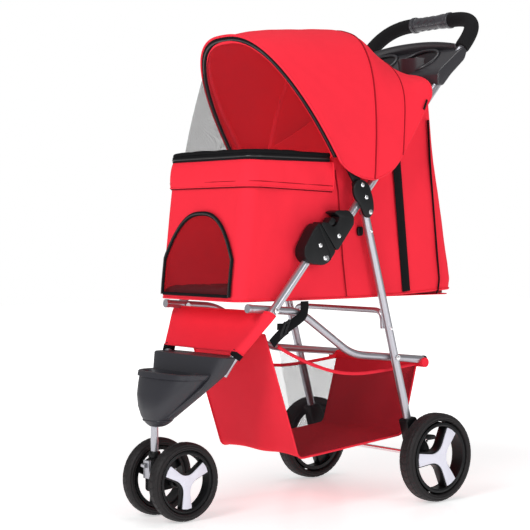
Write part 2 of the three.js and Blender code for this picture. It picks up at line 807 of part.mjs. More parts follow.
addPair('side_tube', sideTubeSolid(), silverTube);
add('basket', basketShell(), redCloth);
add('fold_strap', foldStrap(), blackWebbing);

[['front', frontWheel, frontAxle], ['rear', rearWheel, rearAxle]].forEach(([end, wheel, axle]) => {
  const { tyre, rim, spider } = wheelParts(wheel, axle);
  addPair(`${end}_tyre`, tyre, tyreFoam);
  addPair(`${end}_rim`, rim, blackPlastic);
  addPair(`${end}_spider`, spider, palePlastic);
});

export default stroller;
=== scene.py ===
# Red three-wheeled pet stroller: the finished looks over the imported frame, in metres, +Z up,
# front towards -Y, left side towards +X.
import math

import bpy
import numpy as np
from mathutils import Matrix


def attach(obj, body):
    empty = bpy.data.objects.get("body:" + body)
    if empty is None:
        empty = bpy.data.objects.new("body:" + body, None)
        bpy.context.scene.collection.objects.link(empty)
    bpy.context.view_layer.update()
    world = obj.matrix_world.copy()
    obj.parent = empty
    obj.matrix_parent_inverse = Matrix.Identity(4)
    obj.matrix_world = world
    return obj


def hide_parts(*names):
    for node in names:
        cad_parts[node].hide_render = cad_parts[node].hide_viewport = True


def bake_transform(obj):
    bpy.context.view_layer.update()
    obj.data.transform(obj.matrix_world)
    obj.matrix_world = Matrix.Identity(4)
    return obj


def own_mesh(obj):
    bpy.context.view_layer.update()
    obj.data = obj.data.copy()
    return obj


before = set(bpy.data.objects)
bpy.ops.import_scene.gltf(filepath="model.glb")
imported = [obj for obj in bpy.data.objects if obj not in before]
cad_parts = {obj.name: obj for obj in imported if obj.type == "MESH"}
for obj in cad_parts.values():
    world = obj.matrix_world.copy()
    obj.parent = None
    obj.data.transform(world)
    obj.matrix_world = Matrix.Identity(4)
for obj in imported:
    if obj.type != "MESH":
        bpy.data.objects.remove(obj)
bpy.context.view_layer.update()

# ---------------------------------------------------------------- pivots and directions
tubeX = 0.143
slope = math.radians(48.3)
along = np.array([math.cos(slope), math.sin(slope)])
above = np.array([-math.sin(slope), math.cos(slope)])
pivotA = np.array([-0.183, 0.381])
pivotB = np.array([-0.068, 0.475])
pivotC = np.array([0.041, 0.561])
pivotD = np.array([0.1205, 0.2808])
canopyPivot = np.array([0.021, 0.612])
frontAxle = np.array([-0.3094, 0.072])
rearAxle = np.array([0.192, 0.086])
brakePivot = np.array([0.196, 0.114])
stemY = -0.3444
legLean = math.atan2(pivotD[0] - pivotC[0], pivotC[1] - pivotD[1])


def atLatch(s, m):
    """A place (y, z) near the fold latch: s along the handle from its pivot, m square to it."""
    return pivotB + s * along + m * above


def atLeg(distance, behind=0.0):
    """A place (y, z) on the rear leg, at a distance below its top pivot."""
    return pivotC + np.array([
        distance * math.sin(legLean) + behind * math.cos(legLean),
        -distance * math.cos(legLean) + behind * math.sin(legLean)])


# ---------------------------------------------------------------- mesh helpers
def newMesh(name, verts, faces, material, smooth=True):
    mesh = bpy.data.meshes.new(name)
    mesh.from_pydata(np.asarray(verts, float).tolist(), [], [list(map(int, f)) for f in faces])
    mesh.polygons.foreach_set("use_smooth", [smooth] * len(mesh.polygons))
    mesh.update()
    obj = bpy.data.objects.new(name, mesh)
    bpy.context.scene.collection.objects.link(obj)
    obj.data.materials.append(material)
    return obj


def gridFaces(rows, cols, wrap=False, flip=False):
    """Quads between rows of points; wrap closes each row into a ring."""
    faces = []
    for i in range(rows - 1):
        for j in range(cols if wrap else cols - 1):
            a = i * cols + j
            b = i * cols + (j + 1) % cols
            quad = [a, b, b + cols, a + cols]
            faces.append(quad[::-1] if flip else quad)
    return faces


def turnOut(obj):
    """Makes a closed mesh's faces look outwards."""
    import bmesh
    work = bmesh.new()
    work.from_mesh(obj.data)
    bmesh.ops.recalc_face_normals(work, faces=work.faces)
    work.to_mesh(obj.data)
    work.free()
    return obj


def applied(obj):
    """Bakes the object's modifiers into its mesh."""
    graph = bpy.context.evaluated_depsgraph_get()
    mesh = bpy.data.meshes.new_from_object(obj.evaluated_get(graph))
    obj.modifiers.clear()
    old = obj.data
    obj.data = mesh
    bpy.data.meshes.remove(old)
    return obj


def joined(name, objs):
    """One object from several, keeping their materials."""
    bpy.ops.object.select_all(action="DESELECT")
    for obj in objs:
        obj.select_set(True)
    bpy.context.view_layer.objects.active = objs[0]
    bpy.ops.object.join()
    objs[0].name = name
    return objs[0]


def bevelled(obj, width, segments=3, angle=35):
    bevel = obj.modifiers.new("bevel", "BEVEL")
    bevel.width = width
    bevel.segments = segments
    bevel.limit_method = "ANGLE"
    bevel.angle_limit = math.radians(angle)
    applied(obj)
    sharpen(obj)
    return obj


def sharpen(obj, angle=40):
    """Smooth shading with hard edges kept where faces meet steeply."""
    obj.data.polygons.foreach_set("use_smooth", [True] * len(obj.data.polygons))
    obj.data.set_sharp_from_angle(angle=math.radians(angle))
    return obj


def smoothPath(points, rings=8):
    """A Catmull-Rom curve through the points."""
    p = np.asarray(points, float)
    p = np.vstack([2 * p[0] - p[1], p, 2 * p[-1] - p[-2]])
    out = []
    for i in range(1, len(p) - 2):
        for t in np.arange(rings) / rings:
            out.append(0.5 * (2 * p[i] + (p[i + 1] - p[i - 1]) * t
                       + (2 * p[i - 1] - 5 * p[i] + 4 * p[i + 1] - p[i + 2]) * t * t
                       + (3 * p[i] - p[i - 1] - 3 * p[i + 1] + p[i + 2]) * t ** 3))
    out.append(p[-2])
    return np.array(out)


def bentPath(corners, bend, rings=8):
    """Straight runs joined by bends that start bend before each corner."""
    c = [np.asarray(x, float) for x in corners]
    out = [c[0]]
    for i in range(1, len(c) - 1):
        back = c[i] + (c[i - 1] - c[i]) / np.linalg.norm(c[i - 1] - c[i]) * bend
        ahead = c[i] + (c[i + 1] - c[i]) / np.linalg.norm(c[i + 1] - c[i]) * bend
        for t in np.linspace(0, 1, rings + 1):
            out.append((1 - t) ** 2 * back + 2 * t * (1 - t) * c[i] + t * t * ahead)
    out.append(c[-1])
    return np.array(out)


def frames(path, up=None):
    """Two unit vectors square to the path at each point, carried along it without twist."""
    tangent = np.gradient(path, axis=0)
    tangent /= np.linalg.norm(tangent, axis=1)[:, None]
    side = np.zeros_like(path)
    guide = np.array([0.0, 0, 1]) if up is None else np.asarray(up, float)
    if guide.ndim == 1 and abs(tangent[0] @ guide) > 0.95 and up is None:
        guide = np.array([0.0, 1, 0])
    if up is None:
        last = np.cross(tangent[0], guide)
        for i, t in enumerate(tangent):
            last = last - t * (t @ last)
            last /= np.linalg.norm(last)
            side[i] = last
    else:
        side = np.cross(tangent, np.broadcast_to(guide, tangent.shape))
        side /= np.linalg.norm(side, axis=1)[:, None]
    return side, np.cross(side, tangent)


def sweep(name, path, profile, material, up=None, scale=None, closed=False, smooth=True):
    """A profile, as (side, up) points, carried along a path."""
    path = np.asarray(path, float)
    profile = np.asarray(profile, float)
    side, lift = frames(path, up)
    size = np.ones(len(path)) if scale is None else np.asarray(scale, float)
    rings = (path[:, None, :]
             + side[:, None, :] * profile[None, :, 0, None] * size[:, None, None]
             + lift[:, None, :] * profile[None, :, 1, None] * size[:, None, None])
    rows, cols = rings.shape[:2]
    faces = gridFaces(rows, cols, wrap=True)
    if closed:
        faces += [[(rows - 1) * cols + j, (rows - 1) * cols + (j + 1) % cols,
                   (j + 1) % cols, j] for j in range(cols)]
    else:
        faces += [list(range(cols))[::-1], [(rows - 1) * cols + j for j in range(cols)]]
    return turnOut(newMesh(name, rings.reshape(-1, 3), faces, material, smooth))


def roundProfile(radius, sides=16):
    turn = 2 * math.pi * np.arange(sides) / sides
    return np.stack([radius * np.cos(turn), radius * np.sin(turn)], 1)


def tubeOf(name, path, radius, material, sides=20, scale=None):
    obj = sweep(name, path, roundProfile(radius, sides), material, scale=scale)
    return sharpen(obj, 50)


def flatProfile(width, thick, round=0.3):
    w, t, r = width / 2, thick / 2, min(width, thick) * round
    return [(-w + r, -t), (w - r, -t), (w, -t + r), (w, t - r), (w - r, t), (-w + r, t),
            (-w, t - r), (-w, -t + r)]


def slab(name, outline, x0, x1, material, bevel=0.0012, segments=3):
    """A side outline in (y, z), thickened from x0 to x1, with rounded edges."""
    pts = np.asarray(outline, float)
    n = len(pts)
    verts = [(x0, y, z) for y, z in pts] + [(x1, y, z) for y, z in pts]
    faces = [list(range(n))[::-1], list(range(n, 2 * n))]
    faces += [[i, (i + 1) % n, (i + 1) % n + n, i + n] for i in range(n)]
    obj = turnOut(newMesh(name, verts, faces, material))
    return bevelled(obj, bevel, segments) if bevel else sharpen(obj)


def rounded(outline, radius, steps=5):
    """Rounds each corner of a closed outline; radius is one number or one per corner."""
    pts = [np.asarray(p, float) for p in outline]
    radii = [radius] * len(pts) if np.isscalar(radius) else radius
    out = []
    for i, p in enumerate(pts):
        a, b = pts[i - 1] - p, pts[(i + 1) % len(pts)] - p
        r = min(radii[i], 0.45 * np.linalg.norm(a), 0.45 * np.linalg.norm(b))
        start = p + a / np.linalg.norm(a) * r
        end = p + b / np.linalg.norm(b) * r
        for t in np.linspace(0, 1, steps + 1):
            out.append((1 - t) ** 2 * start + 2 * t * (1 - t) * p + t * t * end)
    return out


def turned(name, profile, centre, axis, material, sides=48):
    """A profile of (radius, height) turned about an axis through centre. A profile that comes
    back to its start gives a ring; any other is closed at its ends."""
    profile = np.asarray(profile, float)
    turn = 2 * math.pi * np.arange(sides) / sides
    axis = np.asarray(axis, float) / np.linalg.norm(axis)
    first = np.cross(axis, [0, 0, 1] if abs(axis[2]) < 0.9 else [1, 0, 0])
    first /= np.linalg.norm(first)
    second = np.cross(axis, first)
    ring = np.cos(turn)[:, None] * first + np.sin(turn)[:, None] * second
    pts = (np.asarray(centre, float) + profile[:, 1, None, None] * axis
           + profile[:, 0, None, None] * ring[None])
    rows = len(profile)
    faces = gridFaces(rows, sides, wrap=True)
    if np.allclose(profile[0], profile[-1]):
        faces = [[k % ((rows - 1) * sides) for k in face] for face in faces]
        pts = pts[:-1]
    else:
        faces += [list(range(sides))[::-1], [(rows - 1) * sides + j for j in range(sides)]]
    return sharpen(turnOut(newMesh(name, pts.reshape(-1, 3), faces, material)), 35)


def setUv(obj, uv):
    layer = obj.data.uv_layers.new(name="metres")
    index = np.zeros(len(obj.data.loops), int)
    obj.data.loops.foreach_get("vertex_index", index)
    layer.data.foreach_set("uv", np.asarray(uv, float)[index].ravel())


def cloth(name, pts, material, inside, wrap=False, thick=0.0, lining=None):
    """A surface of cloth from rows of points, facing away from a place inside it, with
    texture coordinates in metres. The cloth's thickness grows inwards."""
    rows, cols = pts.shape[:2]
    across, up = np.gradient(pts, axis=1), np.gradient(pts, axis=0)
    facing = np.cross(across, up) * (pts - np.asarray(inside, float))
    flip = facing.sum() < 0
    obj = newMesh(name, pts.reshape(-1, 3), gridFaces(rows, cols, wrap, flip), material)
    u = np.zeros((rows, cols))
    v = np.zeros((rows, cols))
    u[:, 1:] = np.cumsum(np.linalg.norm(np.diff(pts, axis=1), axis=2).mean(0))[None]
    v[1:] = np.cumsum(np.linalg.norm(np.diff(pts, axis=0), axis=2).mean(1))[:, None]
    setUv(obj, np.stack([u.ravel(), v.ravel()], 1))
    if thick:
        if lining:
            obj.data.materials.append(lining)
        solid = obj.modifiers.new("thickness", "SOLIDIFY")
        solid.thickness = thick
        solid.offset = -1
        solid.material_offset = 1 if lining else 0
        applied(obj)
    return obj


def waves(pts, seed, size, depth, stretch=(1, 1, 1), count=9):
    """A gentle uneven field over the points, made of crossing waves."""
    rng = np.random.default_rng(seed)
    field = np.zeros(pts.shape[:-1])
    for _ in range(count):
        way = rng.normal(size=3) * np.asarray(stretch)
        way /= np.linalg.norm(way)
        length = size * rng.uniform(0.6, 1.9)
        field += np.sin(pts @ way * 2 * math.pi / length + rng.uniform(0, 7)) * length / size
    return depth * field / count


def mirrorX(obj, name):
    """A copy on the right side, with its faces turned out again."""
    copy = obj.copy()
    copy.data = obj.data.copy()
    copy.name = name
    bpy.context.scene.collection.objects.link(copy)
    place = np.zeros(len(copy.data.vertices) * 3)
    copy.data.vertices.foreach_get("co", place)
    place = place.reshape(-1, 3)
    place[:, 0] *= -1
    copy.data.vertices.foreach_set("co", place.ravel())
    copy.data.flip_normals()
    copy.data.update()
    for key in [key for key in copy.keys() if key.startswith("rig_")]:
        del copy[key]
    return copy


def rivet(name, x, yz, material, radius=0.0045, proud=0.0014, way=1):
    profile = [(radius, -0.0004), (radius, 0.0002), (radius * 0.86, proud * 0.7),
               (radius * 0.5, proud), (0.0002, proud * 1.02)]
    return turned(name, profile, (x, *yz), (way, 0, 0), material, 20)


def place(obj, body, stands=(), slotName=None):
    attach(obj, body)
    if stands:
        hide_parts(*stands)
    return obj


# ---------------------------------------------------------------- materials
def material(name, color, roughness, metallic=0.0, **extra):
    mat = bpy.data.materials.new(name)
    mat.use_nodes = True
    shader = mat.node_tree.nodes["Principled BSDF"]
    shader.inputs["Base Color"].default_value = (*color, 1)
    shader.inputs["Roughness"].default_value = roughness
    shader.inputs["Metallic"].default_value = metallic
    for key, value in extra.items():
        shader.inputs[key.replace("_", " ")].default_value = value
    return mat


def nodeOf(mat, kind, **values):
    node = mat.node_tree.nodes.new(kind)
    for key, value in values.items():
        setattr(node, key, value)
    return node


def bumpInto(mat, height, strength, distance):
    bump = nodeOf(mat, "ShaderNodeBump")
    bump.inputs["Strength"].default_value = strength
    bump.inputs["Distance"].default_value = distance
    mat.node_tree.links.new(height, bump.inputs["Height"])
    mat.node_tree.links.new(bump.outputs["Normal"],
                            mat.node_tree.nodes["Principled BSDF"].inputs["Normal"])


def grained(mat, scale, strength, distance=0.0004):
    """A fine moulded grain in the object's own coordinates."""
    coords = nodeOf(mat, "ShaderNodeTexCoord")
    noise = nodeOf(mat, "ShaderNodeTexNoise")
    noise.inputs["Scale"].default_value = scale
    noise.inputs["Detail"].default_value = 3
    mat.node_tree.links.new(coords.outputs["Object"], noise.inputs["Vector"])
    bumpInto(mat, noise.outputs["Fac"], strength, distance)
    return mat


def woven(mat, pitch, strength, blotch=0.06):
    """Crossing threads in the cloth's own coordinates, with faintly uneven dye."""
    links = mat.node_tree.links
    shader = mat.node_tree.nodes["Principled BSDF"]
    coords = nodeOf(mat, "ShaderNodeTexCoord")
    threads = []
    for direction in ("X", "Y"):
        wave = nodeOf(mat, "ShaderNodeTexWave", bands_direction=direction)
        wave.inputs["Scale"].default_value = 0.31 / pitch
        wave.inputs["Distortion"].default_value = 0.3
        links.new(coords.outputs["UV"], wave.inputs["Vector"])
        threads.append(wave.outputs["Fac"])
    both = nodeOf(mat, "ShaderNodeMath", operation="MULTIPLY")
    links.new(threads[0], both.inputs[0])
    links.new(threads[1], both.inputs[1])
    noise = nodeOf(mat, "ShaderNodeTexNoise")
    noise.inputs["Scale"].default_value = 13
    noise.inputs["Detail"].default_value = 4
    crease = nodeOf(mat, "ShaderNodeMath", operation="MULTIPLY_ADD")
    crease.inputs[1].default_value = 16.0
    links.new(noise.outputs["Fac"], crease.inputs[0])
    links.new(both.outputs[0], crease.inputs[2])
    bumpInto(mat, crease.outputs[0], strength, pitch * 0.5)
    links.new(coords.outputs["Object"], noise.inputs["Vector"])
    ramp = nodeOf(mat, "ShaderNodeMapRange")
    ramp.inputs["To Min"].default_value = 1 - blotch
    ramp.inputs["To Max"].default_value = 1 + blotch
    links.new(noise.outputs["Fac"], ramp.inputs["Value"])
    tint = nodeOf(mat, "ShaderNodeMix", data_type="RGBA", blend_type="MULTIPLY")
    tint.inputs["Factor"].default_value = 1
    tint.inputs["A"].default_value = shader.inputs["Base Color"].default_value
    links.new(ramp.outputs["Result"], tint.inputs["B"])
    links.new(tint.outputs["Result"], shader.inputs["Base Color"])
    return mat


def netted(mat, pitch, hole):
    """Open net: round holes on a square pitch in the cloth's own coordinates."""
    links = mat.node_tree.links
    shader = mat.node_tree.nodes["Principled BSDF"]
    coords = nodeOf(mat, "ShaderNodeTexCoord")
    scaled = nodeOf(mat, "ShaderNodeVectorMath", operation="SCALE")
    scaled.inputs["Scale"].default_value = 1 / pitch
    part = nodeOf(mat, "ShaderNodeVectorMath", operation="FRACTION")
    middle = nodeOf(mat, "ShaderNodeVectorMath", operation="DISTANCE")
    middle.inputs[1].default_value = (0.5, 0.5, 0)
    solid = nodeOf(mat, "ShaderNodeMath", operation="GREATER_THAN")
    solid.inputs[1].default_value = hole
    links.new(coords.outputs["UV"], scaled.inputs[0])
    links.new(scaled.outputs[0], part.inputs[0])
    links.new(part.outputs[0], middle.inputs[0])
    links.new(middle.outputs["Value"], solid.inputs[0])
    links.new(solid.outputs[0], shader.inputs["Alpha"])
    return mat


redColor = (0.88, 0.022, 0.045)
redCloth = woven(material("redCloth", redColor, 0.8, Specular_IOR_Level=0.2), 0.0011, 0.25)
redTrim = material("redTrim", (0.82, 0.022, 0.045), 0.7, Specular_IOR_Level=0.2)
# The lining red carries a faint emission: a painted glow that lifts the shaded inside faces of the cabin
# and canopy, and the hoop sleeves.
lining = woven(material("lining", (0.85, 0.03, 0.05), 0.8, Specular_IOR_Level=0.1,
                        Emission_Color=(0.9, 0.035, 0.06, 1), Emission_Strength=0.22), 0.0011, 0.2)
# shadedRed is a darker copy of the red cloth for the basket's inside face: painted shade, with a faint
# painted glow from its emission.
shadedRed = woven(material("shadedRed", (0.60, 0.025, 0.045), 0.8, Specular_IOR_Level=0.1,
                           Emission_Color=(0.6, 0.03, 0.05, 1), Emission_Strength=0.06),
                  0.0011, 0.2)
redSeam = material("redSeam", (0.30, 0.006, 0.014), 0.8, Specular_IOR_Level=0.1)
hemShadow = material("hemShadow", (0.10, 0.003, 0.008), 0.85, Specular_IOR_Level=0.1)
darkRed = woven(material("darkRed", (0.22, 0.012, 0.022), 0.85), 0.0016, 0.5)
silver = material("silverPaint", (0.46, 0.46, 0.50), 0.30, 0.85)
steel = material("steel", (0.82, 0.82, 0.84), 0.22, 1.0)
blackPlastic = grained(material("blackPlastic", (0.005, 0.0055, 0.0065), 0.38,
                               Specular_IOR_Level=0.24), 900, 0.1)
glossBlack = grained(material("glossBlack", (0.030, 0.029, 0.034), 0.30), 800, 0.05)
greyPlastic = grained(material("greyPlastic", (0.027, 0.027, 0.034), 0.42,
                              Specular_IOR_Level=0.4), 1200, 0.15)
gripPlastic = material("gripPlastic", (0.052, 0.052, 0.060), 0.26)
palePlastic = material("palePlastic", (0.78, 0.78, 0.88), 0.35)
tyreFoam = grained(material("tyreFoam", (0.014, 0.012, 0.013), 0.55,
                           Specular_IOR_Level=0.3), 1500, 0.2)
foamBlack = grained(material("foamBlack", (0.010, 0.010, 0.011), 0.9,
                            Specular_IOR_Level=0.15), 1600, 0.5, 0.0006)
blackNet = netted(material("blackNet", (0.012, 0.010, 0.012), 0.8, Specular_IOR_Level=0.1),
                  0.0013, 0.448)
webbing = woven(material("webbing", (0.005, 0.005, 0.006), 0.8, Specular_IOR_Level=0.12),
                0.0016, 0.6, 0.02)
zipTape = woven(material("zipTape", (0.005, 0.005, 0.006), 0.8, Specular_IOR_Level=0.12),
                0.0010, 0.5, 0.02)
zipTeeth = material("zipTeeth", (0.010, 0.010, 0.011), 0.35)
print("materials ready")

# ---------------------------------------------------------------- frame tubes
tubeRadius = 0.008


def at(x, yz):
    return np.array([x, yz[0], yz[1]])


frontOffset = 0.0234
frontRoute = [at(tubeX, atLatch(0.022, frontOffset)), at(tubeX, atLatch(-0.157, frontOffset)),
              np.array([0.100, -0.244, 0.292]), np.array([0.088, -0.2545, 0.265])]
handleCorner = atLatch(0.653, 0)
handleLow = atLatch(-0.008, 0)
handleRoute = bentPath([at(tubeX, handleLow), at(tubeX, handleCorner),
                        at(-tubeX, handleCorner), at(-tubeX, handleLow)], 0.082, 16)
sideRoute = bentPath([(0.127, -0.227, 0.386), (0.127, -0.108, 0.377), (0.127, 0.022, 0.291),
                      (0.127, 0.214, 0.271)], 0.030, 10)


def frameTube(name, path, radius, body, nodeName, mirror=True):
    left = tubeOf(name + ("L" if mirror else ""), path, radius, silver, 24)
    place(left, body, [nodeName + ("_l" if mirror else "")], "silver_tube")
    if mirror:
        place(mirrorX(left, name + "R"), body, [nodeName + "_r"], "silver_tube")


frameTube("frontTube", bentPath(frontRoute, 0.014, 8), tubeRadius, "front_frame", "front_tube")
frameTube("handleTube", handleRoute, tubeRadius, "handle_frame", "handle_tube", False)
frameTube("rearLeg", [at(tubeX, atLeg(-0.010)), at(tubeX, atLeg(0.455))], tubeRadius,
          "rear_legs", "rear_leg")
frameTube("sideTube", sideRoute, 0.0075, "side_tubes", "side_tube")
crossX = tubeX - 0.008 - 0.0055 - 0.0005
frameTube("legCrossTube", bentPath([
    at(crossX, atLeg(0.232, -0.002)), (crossX, 0.100, 0.372), (-crossX, 0.100, 0.372),
    at(-crossX, atLeg(0.232, -0.002))], 0.020, 10), 0.0055, "rear_legs", "leg_cross_tube", False)


def onFrame(name, x, yz, body, radius=0.0042, way=1):
    left = rivet(name + "L", x, yz, steel, radius, way=way)
    place(left, body)
    place(mirrorX(left, name + "R"), body)


tubeSkin = tubeX + tubeRadius
onFrame("legRivetTop", tubeSkin, atLeg(0.037), "rear_legs", 0.0035)
onFrame("legRivetMid", tubeSkin, atLeg(0.232), "rear_legs", 0.0035)
onFrame("frontRivet", tubeSkin, atLatch(-0.147, frontOffset), "front_frame", 0.0035)
for nodeName, yz, x, body in (("pin_a", pivotA, tubeSkin + 0.0012, "front_frame"),
                              ("pin_d", pivotD, tubeSkin + 0.0008, "rear_legs")):
    left = rivet(nodeName + "HeadL", x, yz, steel, 0.0052, 0.0018)
    place(left, body)
    place(mirrorX(left, nodeName + "HeadR"), body)
print("frame tubes ready")

# ---------------------------------------------------------------- fold latches
latch = {
    "base": [(-0.121, 0.479), (-0.109, 0.466), (-0.075, 0.462), (-0.061, 0.468), (-0.044, 0.488),
             (-0.081, 0.5375), (-0.086, 0.540), (-0.098, 0.530), (-0.121, 0.494)],
    "top": [(-0.0795, 0.5375), (-0.076, 0.5425), (-0.060, 0.5395), (-0.0515, 0.5325),
            (-0.0425, 0.5365), (-0.0335, 0.5520), (-0.048, 0.5595), (-0.039, 0.5640),
            (-0.012, 0.5640), (0.001, 0.5525), (0.001, 0.5380), (-0.038, 0.4910),
            (-0.0425, 0.4895)],
    "lever": [(-0.0595, 0.5405), (-0.0515, 0.5340), (-0.0435, 0.5380), (-0.0405, 0.5460),
              (-0.0500, 0.5515)],
}


def latchPiece(name, key, x0, x1, round, body, nodeName):
    left = slab(name + "L", rounded(latch[key], round), x0, x1, blackPlastic, 0.0018, 3)
    right = mirrorX(left, name + "R")
    for piece, side in ((left, "l"), (right, "r")):
        place(piece, body.replace("*", side), [f"{nodeName}_{side}"], "black_plastic")


latchPiece("latchBase", "base", 0.1290, 0.1582, 0.007, "front_frame", "latch_base")
latchPiece("latchTop", "top", 0.1300, 0.1570, 0.004, "handle_frame", "latch_top")
latchPiece("latchLever", "lever", 0.1330, 0.1535, 0.002, "latch_lever_*", "latch_lever")
ribPath = np.array([(0.1582, y, z) for y, z in ((-0.0865, 0.536), (-0.0740, 0.513),
                                               (-0.0600, 0.4860), (-0.0590, 0.4720))])
rib = tubeOf("latchRibL", smoothPath(ribPath, 5), 0.0013, blackPlastic, 10)
place(rib, "front_frame")
place(mirrorX(rib, "latchRibR"), "front_frame")
onFrame("latchRivetA", 0.1582, (-0.083, 0.499), "front_frame", 0.0042)
onFrame("latchRivetB", 0.1582, (-0.0715, 0.4755), "front_frame", 0.0042)
onFrame("latchRivetC", 0.1570, (-0.036, 0.516), "handle_frame", 0.0042)

# ---------------------------------------------------------------- link plates
plateOutline = rounded([(-0.002, 0.603), (0.003, 0.617), (0.018, 0.624), (0.038, 0.615),
                        (0.050, 0.584), (0.051, 0.562), (0.040, 0.549), (0.027, 0.553),
                        (0.018, 0.573), (0.002, 0.588)], 0.010)
plate = slab("linkPlateL", plateOutline, 0.1520, 0.1592, blackPlastic, 0.0020)
place(plate, "handle_frame", ["link_plate_l"], "black_plastic")
place(mirrorX(plate, "linkPlateR"), "handle_frame", ["link_plate_r"], "black_plastic")
onFrame("plateRivetA", 0.1592, canopyPivot, "handle_frame", 0.0042)
onFrame("plateRivetB", 0.1592, (0.031, 0.589), "handle_frame", 0.0042)
onFrame("plateRivetC", 0.1592, pivotC, "handle_frame", 0.0046)
print("latches ready")

# ---------------------------------------------------------------- wheels
wheelSpecs = {
    "front": {"radius": 0.072, "width": 0.028, "rim": 0.057, "open": 0.050, "x": 0.042,
              "turn": -90, "axle": frontAxle},
    "rear": {"radius": 0.086, "width": 0.036, "rim": 0.069, "open": 0.061, "x": 0.184,
             "turn": 180, "axle": rearAxle},
}


def tyreMesh(name, spec):
    """A foam tyre with crossing tread cuts and ringed side walls."""
    r, half = spec["radius"], spec["width"] / 2
    section = [(r - 0.0145, -half + 0.004), (r - 0.0125, -half + 0.0006), (r - 0.0115, -half),
               (r - 0.0110, -half + 0.0012), (r - 0.0102, -half + 0.0012), (r - 0.0097, -half),
               (r - 0.0065, -half + 0.0007), (r - 0.0060, -half + 0.0018),
               (r - 0.0053, -half + 0.0018), (r - 0.0048, -half + 0.0010),
               (r - 0.0028, -half + 0.0028), (r - 0.0012, -half + 0.0055)]
    crown = [(r - 0.0007 * abs(t) ** 3, (half - 0.0065) * t) for t in np.linspace(-1, 1, 21)]
    section = section + crown + [(a, -b) for a, b in section[::-1]]
    section = np.array(section)
    count = 360
    turn = 2 * math.pi * np.arange(count) / count
    radius = np.repeat(section[:, 0, None], count, 1)
    w = section[:, 1, None] / half
    cuts = 34 if spec["radius"] < 0.08 else 40
    phase = turn[None] * cuts / (2 * math.pi)
    zigzag = np.abs(((phase + 0.5 * np.abs(w) * 1.6) % 1) - 0.5)
    tread = np.abs(w) < 0.90
    groove = np.clip(1 - zigzag / 0.11, 0, 1)
    radius -= np.where(tread, 0.0013 * groove * (np.abs(w) > 0.06), 0)
    radius -= np.where(np.abs(np.abs(w) - 0.42) < 0.05, 0.0010, 0)
    x = np.repeat(section[:, 1, None], count, 1)
    pts = np.stack([x, radius * np.cos(turn), radius * np.sin(turn)], 2)
    rows = len(section)
    faces = gridFaces(rows, count, wrap=True)
    faces += [[(rows - 1) * count + j, (rows - 1) * count + (j + 1) % count,
               (j + 1) % count, j] for j in range(count)]
    pts = pts + np.array([spec["x"], *spec["axle"]])
    return turnOut(newMesh(name, pts.reshape(-1, 3), faces, tyreFoam))


def armOutline(spec, tip, root, halfTip, halfRoot, steps=7):
    """The outline of the three-armed spider in (y, z)."""
    out = []

    def spot(arm, radius, side):
        angle = math.radians(spec["turn"] + 120 * arm)
        return np.array([radius * math.cos(angle) - side * math.sin(angle),
                         radius * math.sin(angle) + side * math.cos(angle)])

    for arm in range(3):
        out += [spot(arm, tip, -halfTip), spot(arm, tip + 0.0015, 0), spot(arm, tip, halfTip)]
        start, end = spot(arm, root, halfRoot), spot(arm + 1, root, -halfRoot)
        hub = spot(arm + 0.5, 1.15 * halfRoot, 0)
        for t in np.linspace(0, 1, steps + 1):
            out.append((1 - t) ** 2 * start + 2 * t * (1 - t) * hub + t * t * end)
    return np.array(out) + spec["axle"]


def wheelPair(end, spec):
    k = spec["open"] / 0.061
    outer, inner = spec["x"] + spec["width"] / 2, spec["x"] - spec["width"] / 2
    tyre = tyreMesh(end + "TyreL", spec)
    rimRing = turned(end + "RimL", [
        (spec["open"], inner + 0.003), (spec["rim"] - 0.001, inner + 0.0035),
        (spec["rim"] - 0.0003, inner + 0.006), (spec["rim"] - 0.0003, outer - 0.006),
        (spec["rim"] - 0.001, outer - 0.0035), (spec["open"] + 0.003, outer - 0.0025),
        (spec["open"], outer - 0.0045), (spec["open"], inner + 0.003)],
        (0, *spec["axle"]), (1, 0, 0), blackPlastic, 96)
    arms = slab(end + "ArmsL", armOutline(spec, spec["open"] + 0.003, 0.024 * k, 0.016 * k,
                0.0115 * k), inner + 0.010, outer - 0.0060, blackPlastic, 0.0012, 2)
    hub = turned(end + "HubL", [(0.0001, inner + 0.002), (0.013 * k, inner + 0.002),
                 (0.0145 * k, inner + 0.004), (0.0145 * k, outer - 0.0065),
                 (0.0001, outer - 0.0065)], (0, *spec["axle"]), (1, 0, 0), blackPlastic, 40)
    rim = joined(end + "RimL", [rimRing, arms, hub])
    spider = slab(end + "SpiderL", rounded(armOutline(
        spec, spec["open"] - 0.0025, 0.024 * k, 0.0128 * k, 0.0088 * k), 0.0012, 2),
        outer - 0.0060, outer - 0.0032, palePlastic, 0.0009, 2)
    cap = turned(end + "CapL", [(0.009 * k, outer - 0.0034), (0.0085 * k, outer - 0.0027),
                 (0.0001, outer - 0.0026)], (0, *spec["axle"]), (1, 0, 0), palePlastic, 32)
    spider = joined(end + "SpiderL", [spider, cap])
    for obj, kind, slotName in ((tyre, "tyre", "tyre_foam"), (rim, "rim", "black_plastic"),
                                (spider, "spider", "pale_plastic")):
        right = mirrorX(obj, obj.name[:-1] + "R")
        place(obj, end + "_wheel_l", [f"{end}_{kind}_l"], slotName)
        place(right, end + "_wheel_r", [f"{end}_{kind}_r"], slotName)


for end, spec in wheelSpecs.items():
    wheelPair(end, spec)
print("wheels ready")

# ---------------------------------------------------------------- caster and its housing
def superRing(z, half, front, rear, power, count=64):
    turn = 2 * math.pi * np.arange(count) / count
    bend = lambda value: np.sign(value) * np.abs(value) ** (2 / power)
    return np.stack([half * bend(np.cos(turn)),
                     (front + rear) / 2 + (rear - front) / 2 * bend(np.sin(turn)),
                     np.full(count, z)], 1)


def loft(name, rings, material, angle=40):
    rings = np.array(rings)
    rows, cols = rings.shape[:2]
    faces = gridFaces(rows, cols, wrap=True)
    faces += [list(range(cols))[::-1], [(rows - 1) * cols + j for j in range(cols)]]
    return sharpen(turnOut(newMesh(name, rings.reshape(-1, 3), faces, material)), angle)


